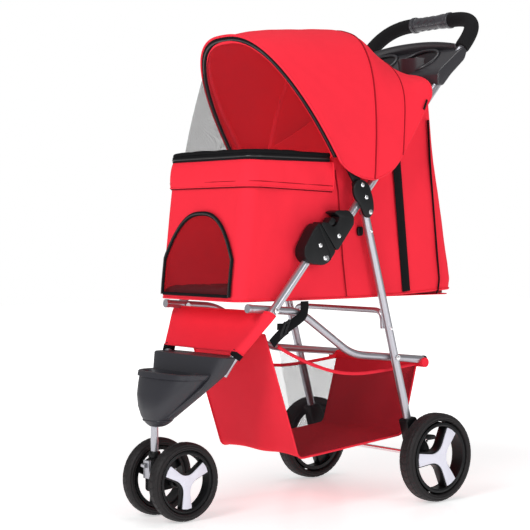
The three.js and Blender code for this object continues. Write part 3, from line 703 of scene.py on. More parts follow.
bowlRings = [
    (0.1705, 0.006, -0.347, -0.335), (0.1712, 0.013, -0.351, -0.328),
    (0.174, 0.020, -0.354, -0.323), (0.178, 0.026, -0.357, -0.318),
    (0.190, 0.037, -0.362, -0.309), (0.206, 0.050, -0.363, -0.298),
    (0.226, 0.065, -0.359, -0.282), (0.246, 0.078, -0.350, -0.266),
    (0.2575, 0.0845, -0.3445, -0.256), (0.2590, 0.0875, -0.3475, -0.255),
    (0.2665, 0.0915, -0.3440, -0.250), (0.2680, 0.0905, -0.3420, -0.251),
]
bowl = loft("casterHousing", [superRing(*ring, 2.5) for ring in bowlRings], greyPlastic)
backRings = [
    (0.1750, 0.014, -0.351, -0.329, 3), (0.1765, 0.019, -0.352, -0.327, 3),
    (0.190, 0.040, -0.346, -0.317, 3.5), (0.206, 0.056, -0.335, -0.306, 4),
    (0.226, 0.0725, -0.317, -0.290, 5), (0.246, 0.0865, -0.300, -0.270, 5),
    (0.268, 0.0985, -0.2880, -0.2440, 5), (0.2965, 0.1105, -0.2785, -0.2245, 5),
    (0.2985, 0.1090, -0.2765, -0.2265, 5)]
back = loft("housingBack", [superRing(*ring) for ring in backRings], greyPlastic)
pocket = loft("pocketTool", [superRing(z, h, f, r, 2.6) for z, h, f, r in (
    (0.236, 0.048, -0.338, -0.296), (0.262, 0.070, -0.3355, -0.292),
    (0.310, 0.098, -0.331, -0.287))], greyPlastic)


def boolean(obj, tool, operation):
    cutter = obj.modifiers.new("cut", "BOOLEAN")
    cutter.operation = operation
    cutter.object = tool
    cutter.solver = "EXACT"
    applied(obj)
    bpy.data.objects.remove(tool)
    return obj


boolean(bowl, back, "UNION")
boolean(bowl, pocket, "DIFFERENCE")
boolean(bowl, tubeOf("stemTool", [(0, stemY, 0.150), (0, stemY, 0.2153)], 0.0073, greyPlastic),
        "DIFFERENCE")
sharpen(bowl, 32)
place(bowl, "front_frame", ["caster_housing"], "grey_plastic")
ridge = loft("housingRidge", [superRing(z, h, f, r, 2.5) for z, h, f, r in (
    (0.1790, 0.0265, -0.3572, -0.3178), (0.1800, 0.0292, -0.3592, -0.3168),
    (0.1822, 0.0318, -0.3602, -0.3152), (0.1834, 0.0322, -0.3592, -0.3155))], greyPlastic)
place(ridge, "front_frame")

place(tubeOf("casterStem", [(0, stemY, 0.060), (0, stemY, 0.215)], 0.007, silver),
      "caster", ["caster_stem"], "silver_tube")
collar = turned("stemCollar", [(0.0072, 0.1152), (0.0105, 0.1152), (0.0112, 0.1165),
                (0.0108, 0.1240), (0.0095, 0.1262), (0.0072, 0.1262)], (0, stemY, 0), (0, 0, 1),
                blackPlastic)
place(collar, "caster")
block = slab("casterFork", rounded([
    (stemY - 0.013, 0.053), (stemY - 0.0135, 0.104), (stemY - 0.008, 0.1155),
    (stemY + 0.010, 0.1155), (stemY + 0.016, 0.108), (-0.302, 0.084), (-0.298, 0.066),
    (-0.308, 0.056), (stemY, 0.052)], 0.006), -0.0105, 0.0105, blackPlastic, 0.002)
hub = turned("forkHub", [(0.0001, -0.0235), (0.012, -0.0235), (0.013, -0.022), (0.013, 0.022),
             (0.012, 0.0235), (0.0001, 0.0235)], (0, *frontAxle), (1, 0, 0), blackPlastic)
cheeks = slab("forkBlock", rounded([(stemY - 0.0125, 0.054), (stemY - 0.0125, 0.112),
              (stemY + 0.0125, 0.112), (stemY + 0.0125, 0.054)], 0.005), -0.0128, 0.0128,
              blackPlastic, 0.002)
place(joined("casterFork", [block, hub, cheeks]), "caster", ["caster_fork"], "black_plastic")
lockPlate = slab("swivelLock", rounded([(stemY - 0.0190, 0.078), (stemY - 0.0190, 0.111),
                 (stemY - 0.0133, 0.111), (stemY - 0.0133, 0.078)], 0.001), -0.009, 0.009,
                 silver, 0.0008)
lockLever = slab("lockLever", rounded([(stemY - 0.0265, 0.099), (stemY - 0.0268, 0.1045),
                 (stemY - 0.018, 0.1065), (stemY - 0.018, 0.097)], 0.001), -0.0055, 0.0055,
                 silver, 0.0008)
place(joined("swivelLock", [lockPlate, lockLever]), "swivel_lock", ["swivel_lock"], "steel")
axleProfile = [(0.0001, -0.0492), (0.0036, -0.0492), (0.004, -0.0486), (0.004, 0.0486),
               (0.0036, 0.0492), (0.0001, 0.0492)]
place(turned("frontAxle", axleProfile, (0, *frontAxle), (1, 0, 0), steel), "caster",
      ["front_axle"], "steel")
rearProfile = [(r, x * 0.195 / 0.0492) for r, x in axleProfile]
place(turned("rearAxle", rearProfile, (0, *rearAxle), (1, 0, 0), steel), "rear_legs",
      ["rear_axle"], "steel")

# ---------------------------------------------------------------- rear brackets and brakes
top, low = atLeg(0.415), atLeg(0.467)
bracketOutline = rounded([
    (top[0] - 0.013, top[1] - 0.003), (top[0] + 0.013, top[1] + 0.003), (0.206, 0.098),
    (0.204, 0.075), (0.184, 0.073), (low[0] - 0.013, low[1] - 0.004)], 0.006)
bracket = slab("axleBracketL", bracketOutline, tubeX - 0.0122, tubeX + 0.0122, blackPlastic,
               0.003)
spacer = turned("spacerL", [(0.0001, 0.150), (0.010, 0.150), (0.009, 0.1655), (0.0001, 0.1658)],
                (0, *rearAxle), (1, 0, 0), blackPlastic)
bracket = joined("axleBracketL", [bracket, spacer])
place(bracket, "rear_legs", ["axle_bracket_l"], "black_plastic")
place(mirrorX(bracket, "axleBracketR"), "rear_legs", ["axle_bracket_r"], "black_plastic")
pedalOutline = rounded([(0.187, 0.110), (0.189, 0.124), (0.204, 0.1255), (0.226, 0.121),
                        (0.247, 0.1185), (0.249, 0.110), (0.224, 0.109), (0.202, 0.106)], 0.004)
pedal = slab("brakePedalL", pedalOutline, tubeX - 0.026, tubeX - 0.0128, blackPlastic, 0.0018)
place(mirrorX(pedal, "brakePedalR"), "brake_r", ["brake_pedal_r"], "black_plastic")
place(pedal, "brake_l", ["brake_pedal_l"], "black_plastic")
onFrame("brakePin", tubeX + 0.0122, brakePivot, "rear_legs", 0.0035)
print("caster and brakes ready")

# ---------------------------------------------------------------- handle fittings
steps = np.linalg.norm(np.diff(handleRoute, axis=0), axis=1)
reachAlong = np.concatenate([[0], np.cumsum(steps)])
handleLength = reachAlong[-1]


def onHandle(start, end, count):
    """Evenly spaced places on the handle between two distances along it."""
    where = np.linspace(start, end, count)
    return np.stack([np.interp(where, reachAlong, handleRoute[:, k]) for k in range(3)], 1)


gripHalf = 0.052
foamPath = onHandle(0.5665, handleLength / 2 - gripHalf - 0.0008, 60)
foamScale = np.ones(60)
foamScale[[0, -1]] = 0.90
foamScale[[1, -2]] = 0.97
foam = tubeOf("handleFoamL", foamPath, 0.0150, foamBlack, 32, foamScale)
place(foam, "handle_frame", ["handle_foam_l"], "foam")
foamRight = mirrorX(foam, "handleFoamR")
place(foamRight, "handle_frame", ["handle_foam_r"], "foam")


def gripMesh():
    """The moulded grip: collared ends, three diamond hollows and a plain raised part."""
    rows, cols = 150, 96
    x = np.linspace(-0.0545, 0.0545, rows)
    turn = 2 * math.pi * np.arange(cols) / cols
    X, T = np.meshgrid(x, turn, indexing="ij")
    radius = np.full_like(X, 0.0146)
    radius += 0.0022 * (np.abs(X) > 0.0465) + 0.0008 * (np.abs(np.abs(X) - 0.0430) < 0.0015)
    for centre in (-0.024, -0.005, 0.014):
        for face in (0.0, 0.5, 1.0, 1.5):
            away = (T - face * math.pi + math.pi) % (2 * math.pi) - math.pi
            reach = np.abs(X - centre) / 0.0088 + np.abs(away) / 0.62
            radius -= 0.0022 * np.clip((1 - reach) / 0.22, 0, 1)
    radius += 0.0010 * np.clip(1 - np.abs(X - 0.033) / 0.0085, 0, 1) ** 0.4
    radius[[0, -1]] -= 0.0015
    push = handleRoute[len(handleRoute) // 2]
    pts = np.stack([X, push[1] + radius * np.cos(T), push[2] + radius * np.sin(T)], 2)
    faces = gridFaces(rows, cols, wrap=True)
    faces += [list(range(cols))[::-1], [(rows - 1) * cols + j for j in range(cols)]]
    return sharpen(turnOut(newMesh("handleGrip", pts.reshape(-1, 3), faces, gripPlastic)), 60)


place(gripMesh(), "handle_frame", ["handle_grip"], "grey_plastic")

# ---------------------------------------------------------------- cup tray
tray = {"half": 0.155, "cupX": 0.060, "cupY": 0.267, "cupRadius": 0.032, "floor": 0.806}


def ovalRing(x, y, z, across, ahead, power=2.2, count=48):
    turn = 2 * math.pi * np.arange(count) / count
    bend = lambda value: np.sign(value) * np.abs(value) ** (2 / power)
    return np.stack([x + across * bend(np.cos(turn)), y + ahead * bend(np.sin(turn)),
                     np.full(count, float(z))], 1)


deckOutline = rounded([(0.2245, 0.813), (0.2255, 0.836), (0.234, 0.8455), (0.286, 0.8855),
                       (0.301, 0.8935), (0.308, 0.885), (0.301, 0.868), (0.263, 0.836),
                       (0.240, 0.812)], 0.005)
deck = slab("cupTray", deckOutline, -0.1555, 0.1555, glossBlack, 0.003, 4)
for side in (1, -1):
    cup = loft("cupOuter", [ovalRing(side * 0.060, 0.267, z, r, r * k) for z, r, k in (
        (0.802, 0.029, 1.0), (0.804, 0.033, 1.0), (0.830, 0.036, 1.0), (0.866, 0.042, 0.96),
        (0.872, 0.044, 0.95))], glossBlack)
    boolean(deck, cup, "UNION")
for side in (1, -1):
    well = loft("cupInner", [ovalRing(side * 0.060, 0.267, z, r, r * k) for z, r, k in (
        (0.806, 0.0310, 1.0), (0.832, 0.0318, 1.0), (0.850, 0.040, 0.80), (0.870, 0.050, 0.64),
        (0.960, 0.056, 0.58))], glossBlack)
    boolean(deck, well, "DIFFERENCE")
boolean(deck, tubeOf("handleTool", handleRoute, 0.0088, glossBlack, 24), "DIFFERENCE")
sharpen(deck, 35)
place(deck, "handle_frame", ["cup_tray"], "gloss_black")
wallX = np.linspace(-0.134, 0.134, 60)
hump = 1 - np.abs(wallX / 0.134) ** 2.2
wall = np.stack([wallX, 0.3005 + 0.004 * hump, 0.889 + 0.013 * hump], 1)
place(sweep("trayWall", wall, flatProfile(0.005, 0.026), glossBlack, up=(0, -0.45, 0.89)),
      "handle_frame")
incline = math.atan2(0.040, 0.052)
for side, tag in ((1, "L"), (-1, "R")):
    turn = np.linspace(0, 2 * math.pi, 73)[:-1]
    y = 0.2645 + 0.0305 * np.sin(turn)
    bead = np.stack([side * 0.060 + 0.0480 * np.sign(np.cos(turn)) * np.abs(np.cos(turn)) ** 0.9,
                     y, 0.8455 + (y - 0.234) * math.tan(incline) + 0.0012], 1)
    place(sweep("cupBead" + tag, bead, roundProfile(0.0032, 10), glossBlack, up=(0, -0.61, 0.79),
                closed=True), "handle_frame")
    for k, x in enumerate((-0.018, 0.0, 0.018)):
        rib = slab(f"cupRib{tag}{k}", rounded([(0.288, 0.812), (0.288, 0.868), (0.297, 0.868),
                   (0.297, 0.812)], 0.001), side * 0.060 + x - 0.0015, side * 0.060 + x + 0.0015,
                   glossBlack, 0.0006)
        place(rib, "handle_frame")
print("handle fittings ready")

# ---------------------------------------------------------------- canopy hoops
hoops = {
    "front": {"angle": 126.5, "reach": 0.336, "half": 0.143, "arm": (0.1446, 0.150)},
    "middle": {"angle": 80, "reach": 0.300, "half": 0.135, "arm": (0.137, 0.1424)},
}
hoopFoot = 0.062


def hoopPoint(spec, turn):
    bend = lambda value: np.sign(value) * np.abs(value) ** (2 / 2.6)
    lean = math.radians(spec["angle"])
    out = spec["reach"] * bend(np.sin(turn))
    return np.stack([spec["half"] * bend(np.cos(turn)),
                     canopyPivot[0] + out * math.cos(lean),
                     canopyPivot[1] + out * math.sin(lean)], -1)


def hoopPiece(key, body):
    spec = hoops[key]
    start = math.asin((hoopFoot / spec["reach"]) ** (2.6 / 2))
    bow = tubeOf(key + "Hoop", hoopPoint(spec, np.linspace(start, math.pi - start, 90)), 0.004,
                 silver, 16)
    lean = math.radians(spec["angle"])

    def corner(out, side):
        return (canopyPivot[0] + out * math.cos(lean) - side * math.sin(lean),
                canopyPivot[1] + out * math.sin(lean) + side * math.cos(lean))

    arm = rounded([corner(*p) for p in ((-0.007, -0.006), (-0.007, 0.006), (0.0, 0.009),
                  (0.074, 0.006), (0.074, -0.006), (0.0, -0.009))], 0.004)
    shoe = rounded([corner(*p) for p in ((0.050, 0.0062), (0.075, 0.0062), (0.075, -0.0062),
                   (0.050, -0.0062))], 0.003)
    parts = [bow]
    for sign in (1, -1):
        a, b = spec["arm"]
        parts.append(slab("arm", arm, a * sign, b * sign, blackPlastic, 0.001))
        parts.append(slab("shoe", shoe, (spec["half"] - 0.006) * sign, b * sign, blackPlastic,
                          0.001))
    place(joined(key + "Hoop", parts), body, [key + "_hoop"], "silver_tube")


hoopPiece("front", "canopy_front")
hoopPiece("middle", "canopy_middle")
print("hoops ready")

# ---------------------------------------------------------------- cabin
cabin = {
    "half": 0.126, "corner": 0.027, "low": 0.398, "rim": 0.662,
    "levels": [(0.397, -0.2500, 0.2880), (0.405, -0.2530, 0.2990), (0.430, -0.2510, 0.3030),
               (0.560, -0.2360, 0.2800), (0.662, -0.2215, 0.2620), (0.786, -0.2000, 0.2455)],
    "mouth": [(-0.30, 0.662), (-0.036, 0.658), (0.202, 0.788), (0.40, 0.788)],
}


def cabinEnds(z):
    levels = np.array(cabin["levels"])
    return np.interp(z, levels[:, 0], levels[:, 1]), np.interp(z, levels[:, 0], levels[:, 2])


def cabinSpot(s, z, out=0.0):
    """A place on the cabin wall: s runs 0..1 from the back, along the left side to the front
    at 0.5, and back along the right side."""
    s = np.asarray(s, float)
    z = np.asarray(z, float)
    front, rear = cabinEnds(z)
    half, r = cabin["half"] + out, cabin["corner"] + out
    front, rear = front - out, rear + out
    depth = rear - front
    lengths = [half - r, r * math.pi / 2, 1, r * math.pi / 2, 2 * (half - r), r * math.pi / 2, 1,
               r * math.pi / 2, half - r]
    straight = depth - 2 * r
    total = 4 * (half - r) + 4 * r * math.pi / 2 + 2 * straight
    d = s * total
    x = np.zeros_like(d + z)
    y = np.zeros_like(x)
    d = np.broadcast_to(d, x.shape).copy()
    done = np.zeros_like(x)
    quarter = r * math.pi / 2
    pieces = [
        (half - r, lambda t: (t, rear)),
        (quarter, lambda t: (half - r + r * np.sin(t / r), rear - r + r * np.cos(t / r))),
        (straight, lambda t: (half + 0 * t, rear - r - t)),
        (quarter, lambda t: (half - r + r * np.cos(t / r), front + r - r * np.sin(t / r))),
        (2 * (half - r), lambda t: (half - r - t, front + 0 * t)),
        (quarter, lambda t: (-(half - r) - r * np.sin(t / r), front + r - r * np.cos(t / r))),
        (straight, lambda t: (-half + 0 * t, front + r + t)),
        (quarter, lambda t: (-(half - r) - r * np.cos(t / r), rear - r + r * np.sin(t / r))),
        (half - r, lambda t: (-(half - r) + t, rear + 0 * t)),
    ]
    for length, spot in pieces:
        inside = (d >= done - 1e-9) & (d <= done + length + 1e-9)
        px, py = spot(d - done)
        x = np.where(inside, px, x)
        y = np.where(inside, py, y)
        done = done + length
    return np.stack([x, y, z + 0 * x], -1)


def mouthHeight(y):
    m = np.array(cabin["mouth"])
    return np.interp(y, m[:, 0], m[:, 1])


def cabinSurface(rows, cols, low, high, out=0.0, spread=None):
    """Rows from the hem up to the mouth, columns round the cabin."""
    s = np.linspace(0, 1, cols, endpoint=False) if spread is None else spread
    top = np.full(len(s), 0.7)
    for _ in range(6):
        y = cabinSpot(s, top)[..., 1]
        top = mouthHeight(y) if high is None else np.full(len(s), high)
    y = cabinSpot(s, np.full(len(s), low))[..., 1]
    hemRise = 0.012 * np.clip((y - 0.03) / 0.26, 0, 1) ** 1.5
    t = np.linspace(0, 1, rows)[:, None]
    z = low + hemRise + (top[None] - low - hemRise) * t
    return cabinSpot(np.broadcast_to(s, z.shape), z, out)


def outwardOf(pts):
    """Rough horizontal outward direction from the cabin's middle, for pushing cloth."""
    away = pts.copy()
    away[..., 2] = 0
    away[..., 1] = np.clip(away[..., 1] - 0.02, -1, 1)
    box = np.stack([away[..., 0] / 0.126, away[..., 1] / 0.26], -1)
    power = np.sign(box) * np.abs(box) ** 9
    way = np.zeros_like(pts)
    way[..., :2] = power
    length = np.linalg.norm(way, axis=-1, keepdims=True)
    return way / np.maximum(length, 1e-9)


def doorMask(pts, grow=0.0):
    """How far inside the door's arch a place on the front wall is; positive is inside."""
    x, z = np.abs(pts[..., 0]), pts[..., 2]
    arch = 0.556 + grow - (np.clip(x, 0, 0.2) / (0.102 + grow)) ** 2.6 * 0.084
    inside = np.minimum(np.minimum((0.102 + grow) - x, arch - z), z - 0.406 + grow)
    return np.where(pts[..., 1] < -0.20, inside, -0.05)


walls = cabinSurface(96, 520, 0.398, None)
way = outwardOf(walls)
rise = (walls[..., 2] - 0.398) / 0.264
bulge = 0.0035 * np.sin(np.clip(rise, 0, 1) * math.pi) + 0.004 * np.exp(-((rise - 0.12) / 0.16) ** 2)
pull = np.clip((walls[..., 1] - 0.05) / 0.2, 0, 1)
field = bulge * (0.25 + 0.75 * pull) + waves(walls, 3, 0.13, 0.0034, (1, 1, 0.5))
field += waves(walls, 8, 0.05, 0.0011, (1, 1, 0.3))
frontness = np.clip((-0.21 - walls[..., 1]) / 0.02, 0, 1)
field *= 1 - 0.8 * frontness
field -= 0.0022
field = np.clip(field, -0.007, 0.006)
field = np.where(np.abs(walls[..., 0]) > 0.10, np.minimum(field, 0.0012), field)
walls = walls + way * field[..., None]
cabinCloth = cloth("cabinWalls", walls, redCloth, (0, 0.02, 0.5), wrap=True, thick=0.0016, lining=lining)


def archOutline(grow, steps=40):
    """The doorway's outline as (x, z), from its near foot over the top to the far foot."""
    x = np.sin(np.linspace(-math.pi / 2, math.pi / 2, steps)) * (0.102 + grow)
    z = 0.556 + grow - (np.abs(x) / (0.102 + grow)) ** 2.6 * 0.084
    low = np.linspace(0.406, z[0], 10)[:-1]
    left = np.stack([np.full(9, -(0.102 + grow)), low], 1)
    right = left[::-1] * [-1, 1]
    return np.vstack([left, np.stack([x, z], 1), right])


def frontWall(xz, out=0.0):
    """Places on the cabin's front wall from (x, z)."""
    front, _ = cabinEnds(xz[:, 1])
    x = np.abs(xz[:, 0])
    r, half = cabin["corner"], cabin["half"]
    past = np.clip(x - (half - r), 0, r * 0.98)
    back = r - np.sqrt(r * r - past * past)
    return np.stack([xz[:, 0], front + back - out, xz[:, 1]], 1)


arch = archOutline(0.0)
toolRing = np.vstack([arch, arch[:1]])[:-1]
ringsFor = [np.stack([toolRing[:, 0], np.full(len(toolRing), y), toolRing[:, 1]], 1)
            for y in (-0.30, -0.17)]
doorTool = loft("doorTool", ringsFor, redCloth)
boolean(cabinCloth, doorTool, "DIFFERENCE")
place(cabinCloth, "handle_frame", ["cabin"], "red_cloth")
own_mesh(cabinCloth)

floorRing = cabinSurface(2, 200, 0.398, 0.4, -0.0015)[0]
shrink = np.linspace(1, 0.02, 14)[:, None, None]
middle = np.array([0, 0.02, 0.398])
floorPts = middle + (floorRing[None] - middle) * shrink
floorPts[..., 2] = 0.3985 - 0.0025 * np.sin(np.linspace(0, math.pi, 14))[:, None]
cabinFloor = cloth("cabinFloor", floorPts, redCloth, (0, 0, 0.6), wrap=True, thick=0.0016)
softPieces = []


def soft(obj, body="handle_frame", stands=(), slotName=None, flatten=True):
    place(obj, body, stands, slotName)
    if flatten:
        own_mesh(obj)
    softPieces.append(obj)
    return obj


soft(cabinFloor)


def matMesh():
    """The quilted floor pad, with stitched diamonds."""
    rows, cols = 150, 76
    y = np.linspace(-0.2385, 0.2790, rows)
    x = np.linspace(-0.1185, 0.1185, cols)
    Y, X = np.meshgrid(y, x, indexing="ij")
    a, b = (X + Y) / 0.062, (X - Y) / 0.062
    puff = np.abs(np.sin(math.pi * a) * np.sin(math.pi * b)) ** 0.5
    edge = np.minimum((0.1185 - np.abs(X)), np.minimum(Y + 0.2385, 0.2790 - Y)) / 0.012
    height = 0.4135 + 0.0075 * puff * np.clip(edge, 0, 1) + 0.0045 * np.clip(edge, 0, 1) ** 0.5
    height = np.minimum(height, 0.4225)
    corner = np.clip((np.abs(X) - 0.0985) / 0.02, 0, 1)
    ends = np.clip((np.abs(Y - 0.02) - 0.238) / 0.02, 0, 1)
    X = X * (1 - 0.03 * ends * corner)
    upper = np.stack([X, Y, height], -1)
    lower = np.stack([X, Y, np.full_like(X, 0.4015)], -1)
    verts = np.vstack([upper.reshape(-1, 3), lower.reshape(-1, 3)])
    n = rows * cols
    faces = gridFaces(rows, cols) + [[v + n for v in f[::-1]] for f in gridFaces(rows, cols)]
    loop = ([j for j in range(cols)] + [i * cols + cols - 1 for i in range(1, rows)]
            + [(rows - 1) * cols + j for j in range(cols - 2, -1, -1)]
            + [i * cols for i in range(rows - 2, 0, -1)])
    faces += [[loop[k], loop[(k + 1) % len(loop)], loop[(k + 1) % len(loop)] + n, loop[k] + n]
              for k in range(len(loop))]
    obj = turnOut(newMesh("cabinMat", verts, faces, darkRed))
    setUv(obj, verts[:, :2])
    return obj


matPad = soft(matMesh(), stands=["cabin_mat"], slotName="dark_red_cloth")
print("cabin walls ready")


def alongWall(sPoints, zPoints, out):
    return cabinSpot(np.asarray(sPoints, float), np.asarray(zPoints, float), out)


def piping(name, path, radius, mat, closed=False):
    return sweep(name, path, roundProfile(radius, 10), mat, closed=closed)


hem = walls[0, ::2] + way[0, ::2] * 0.0002 + np.array([0, 0, 0.0012])
soft(piping("cabinHem", hem, 0.0022, redTrim, closed=True))

doorPath = frontWall(archOutline(0.0015, 60), 0.0018)
doorBand = sweep("doorPiping", smoothPath(doorPath, 2), flatProfile(0.0085, 0.0036, 0.4), zipTape,
                 up=(0, -1, 0))
soft(doorBand, "handle_frame")
doorLine = frontWall(np.stack([np.linspace(0.1, -0.1, 30), np.full(30, 0.4075)], 1), 0.0016)
soft(sweep("doorSill", doorLine, flatProfile(0.006, 0.003, 0.4), zipTape, up=(0, -1, 0)),
     "handle_frame")
zipLine = frontWall(archOutline(0.0015, 60), 0.0040)
soft(sweep("doorZip", smoothPath(zipLine, 2), flatProfile(0.0030, 0.0016, 0.4), zipTeeth,
           up=(0, -1, 0)), "handle_frame")

doorRows = []
for t in np.linspace(0, 1, 22):
    half = 0.1005
    x = np.linspace(-half, half, 40)
    topZ = 0.5545 - (np.abs(x) / 0.102) ** 2.6 * 0.084
    z = 0.407 + (topZ - 0.407) * t
    doorRows.append(frontWall(np.stack([x, z], 1), -0.0006))
doorRows = np.array(doorRows)
doorRows[..., 1] += 0.0025 * np.sin(np.linspace(0, math.pi, 22))[:, None]
doorNet = cloth("frontDoor", doorRows, blackNet, (0, 0, 0.45))
soft(doorNet, "front_door", ["front_door"], "black_mesh")

# the padded band round the cabin's front, with its stitched lower hem
bandStart, bandEnd = 0.2830, 0.7170
bandS = np.linspace(bandStart, bandEnd, 420)
t = np.linspace(0, 1, 26)[:, None]
lowZ = 0.6065 - 0.010 * np.clip((np.abs(bandS - 0.5) - 0.10) / 0.20, 0, 1)
highZ = 0.6565 - 0.006 * np.clip((np.abs(bandS - 0.5) - 0.22) / 0.08, 0, 1)
bandZ = lowZ + (highZ - lowZ) * t
puff = np.sin(t * math.pi) ** 0.5
band = cabinSpot(np.broadcast_to(bandS, bandZ.shape), bandZ, 0.0)
sideness = np.clip((np.abs(band[..., 0]) - 0.10) / 0.02, 0, 1)
ripple = waves(band * [1, 1, 0.3], 21, 0.030, 0.0022)
depth = (0.0050 - 0.0012 * sideness) * puff + ripple * (1 - 0.3 * sideness) * puff
depth = np.where(t > 0.02, depth, 0.0010)
band = band + outwardOf(band) * (depth[..., None] + 0.0012)
bandCloth = cloth("rimBand", band, redCloth, (0, 0.02, 0.63), thick=0.0012)
soft(bandCloth)
hemPath = cabinSpot(bandS, lowZ + 0.0005, 0.0019)
soft(piping("bandHem", hemPath, 0.0016, redTrim))
stitch = cabinSpot(bandS, lowZ + 0.0090, 0.0040)
soft(piping("bandStitch", stitch, 0.0007, redSeam))
soft(piping("bandShade", cabinSpot(bandS, lowZ - 0.0018, 0.0004), 0.0011, hemShadow))
for end, tag in ((0, "R"), (-1, "L")):
    soft(piping("bandEnd" + tag, band[1:-1, end] + outwardOf(band)[1:-1, end] * 0.0002, 0.0016,
                redTrim))
zipS = np.linspace(bandStart + 0.006, bandEnd - 0.006, 320)
zipZ = 0.6605 - 0.012 * np.clip((np.abs(zipS - 0.5) - 0.235) / 0.065, 0, 1)
zipPath = cabinSpot(zipS, zipZ, 0.0018)
soft(sweep("rimZip", zipPath, flatProfile(0.0050, 0.0130, 0.35), zipTape, up=(0, 0, 1)))
roll = cabinSpot(zipS, zipZ + 0.0085, 0.0)
roll[:, 2] += waves(roll, 9, 0.07, 0.0030)
soft(tubeOf("rimZipRoll", roll, 0.0046, zipTape, 12))
soft(sweep("rimZipTeeth", cabinSpot(zipS, zipZ, 0.0042), flatProfile(0.0016, 0.0032, 0.3),
           zipTeeth, up=(0, 0, 1)))

# side seams, side webbing and the rear zip
for sign, tag in ((1, "L"), (-1, "R")):
    def sideSpot(y, z, out, sign=sign):
        front, rear = cabinEnds(z)
        return np.array([sign * (cabin["half"] + out), y, z])

    seamZ = np.linspace(0.402, 0.640, 60)
    seamY = np.interp(seamZ, [0.40, 0.47, 0.60, 0.64], [0.010, 0.000, -0.012, -0.020])
    seam = np.array([sideSpot(y, z, 0.0010) for y, z in zip(seamY, seamZ)])
    soft(piping("sideSeam" + tag, seam, 0.0012, redSeam))
    strapZ = np.linspace(0.4075, 0.690, 60)
    strapY = np.interp(strapZ, [0.40, 0.66, 0.70], [0.166, 0.138, 0.134])
    strap = np.array([sideSpot(y, z, 0.0030) for y, z in zip(strapY, strapZ)])
    soft(sweep("sideWebbing" + tag, strap, flatProfile(0.021, 0.0014, 0.2), webbing,
               up=(1, 0, 0)))
    toggle = slab("sideCap" + tag, rounded([(0.036, 0.516), (0.036, 0.534), (0.050, 0.534),
                  (0.050, 0.516)], 0.0065), sign * 0.1255, sign * 0.1300, blackPlastic, 0.0012)
    soft(toggle)
    cornerS = 0.0 + 0.1030
    zipRise = np.linspace(0.402, 0.745, 60)
    back = cabinSpot(np.full(60, cornerS if sign > 0 else 1 - cornerS), zipRise, 0.0016)
    soft(sweep("rearZip" + tag, back, flatProfile(0.0090, 0.0024, 0.35), zipTape,
               up=(0.6 * sign, 1, 0)))
print("cabin trims ready")

# ---------------------------------------------------------------- canopy
canopy = {
    "u": [0, 0.20, 0.40, 0.50, 0.65, 0.80, 1.0],
    "foot": [(-0.030, 0.651), (-0.008, 0.637), (0.030, 0.625), (0.055, 0.6235), (0.103, 0.6450),
             (0.142, 0.692), (0.204, 0.787)],
    "crest": [(-0.187, 0.890), (-0.090, 0.9115), (0.025, 0.9200), (0.079, 0.918), (0.132, 0.887),
              (0.172, 0.863), (0.212, 0.838)],
    "footX": 0.1575,
}


def smoothAt(keys, values, where):
    """Values between keys, eased by a Catmull-Rom curve."""
    keys = np.asarray(keys, float)
    values = np.asarray(values, float)
    slope = np.gradient(values, keys, axis=0)
    index = np.clip(np.searchsorted(keys, where, side="right") - 1, 0, len(keys) - 2)
    width = keys[index + 1] - keys[index]
    t = (where - keys[index]) / width
    shape = t.shape + (1,) * (values.ndim - 1)
    t, width = t.reshape(shape), width.reshape(shape)
    a, b = values[index], values[index + 1]
    ma, mb = slope[index] * width, slope[index + 1] * width
    return ((2 * t ** 3 - 3 * t ** 2 + 1) * a + (t ** 3 - 2 * t ** 2 + t) * ma
            + (-2 * t ** 3 + 3 * t ** 2) * b + (t ** 3 - t ** 2) * mb)


def canopySpot(u, v, inset=0.0):
    """A place on the canopy: u from the front rim to the rear hem, v from the left foot over
    the top to the right foot."""
    u, v = np.broadcast_arrays(np.asarray(u, float), np.asarray(v, float))
    foot = smoothAt(canopy["u"], canopy["foot"], u.ravel()).reshape(u.shape + (2,))
    crest = smoothAt(canopy["u"], canopy["crest"], u.ravel()).reshape(u.shape + (2,))
    wide = np.interp(u, [0, 0.5, 1], [2.6, 2.9, 3.2])
    tall = np.interp(u, [0, 0.5, 1], [2.2, 2.4, 2.8])
    turn = math.pi * v
    across = np.sign(np.cos(turn)) * np.abs(np.cos(turn)) ** (2 / wide)
    rise = np.abs(np.sin(turn)) ** (2 / tall)
    half = canopy["footX"] - inset
    x = half * across
    y = foot[..., 0] + (crest[..., 0] - foot[..., 0]) * rise
    z = foot[..., 1] + (crest[..., 1] - inset - foot[..., 1]) * rise
    return np.stack([x, y, z], -1)


def evenRib(u, count, inset=0.0, dense=900):
    """A rib of the canopy with evenly spaced points, as values of v."""
    v = np.linspace(0, 1, dense)
    pts = canopySpot(np.full(dense, u), v, inset)
    run = np.concatenate([[0], np.cumsum(np.linalg.norm(np.diff(pts, axis=0), axis=1))])
    return np.interp(np.linspace(0, run[-1], count), run, v)


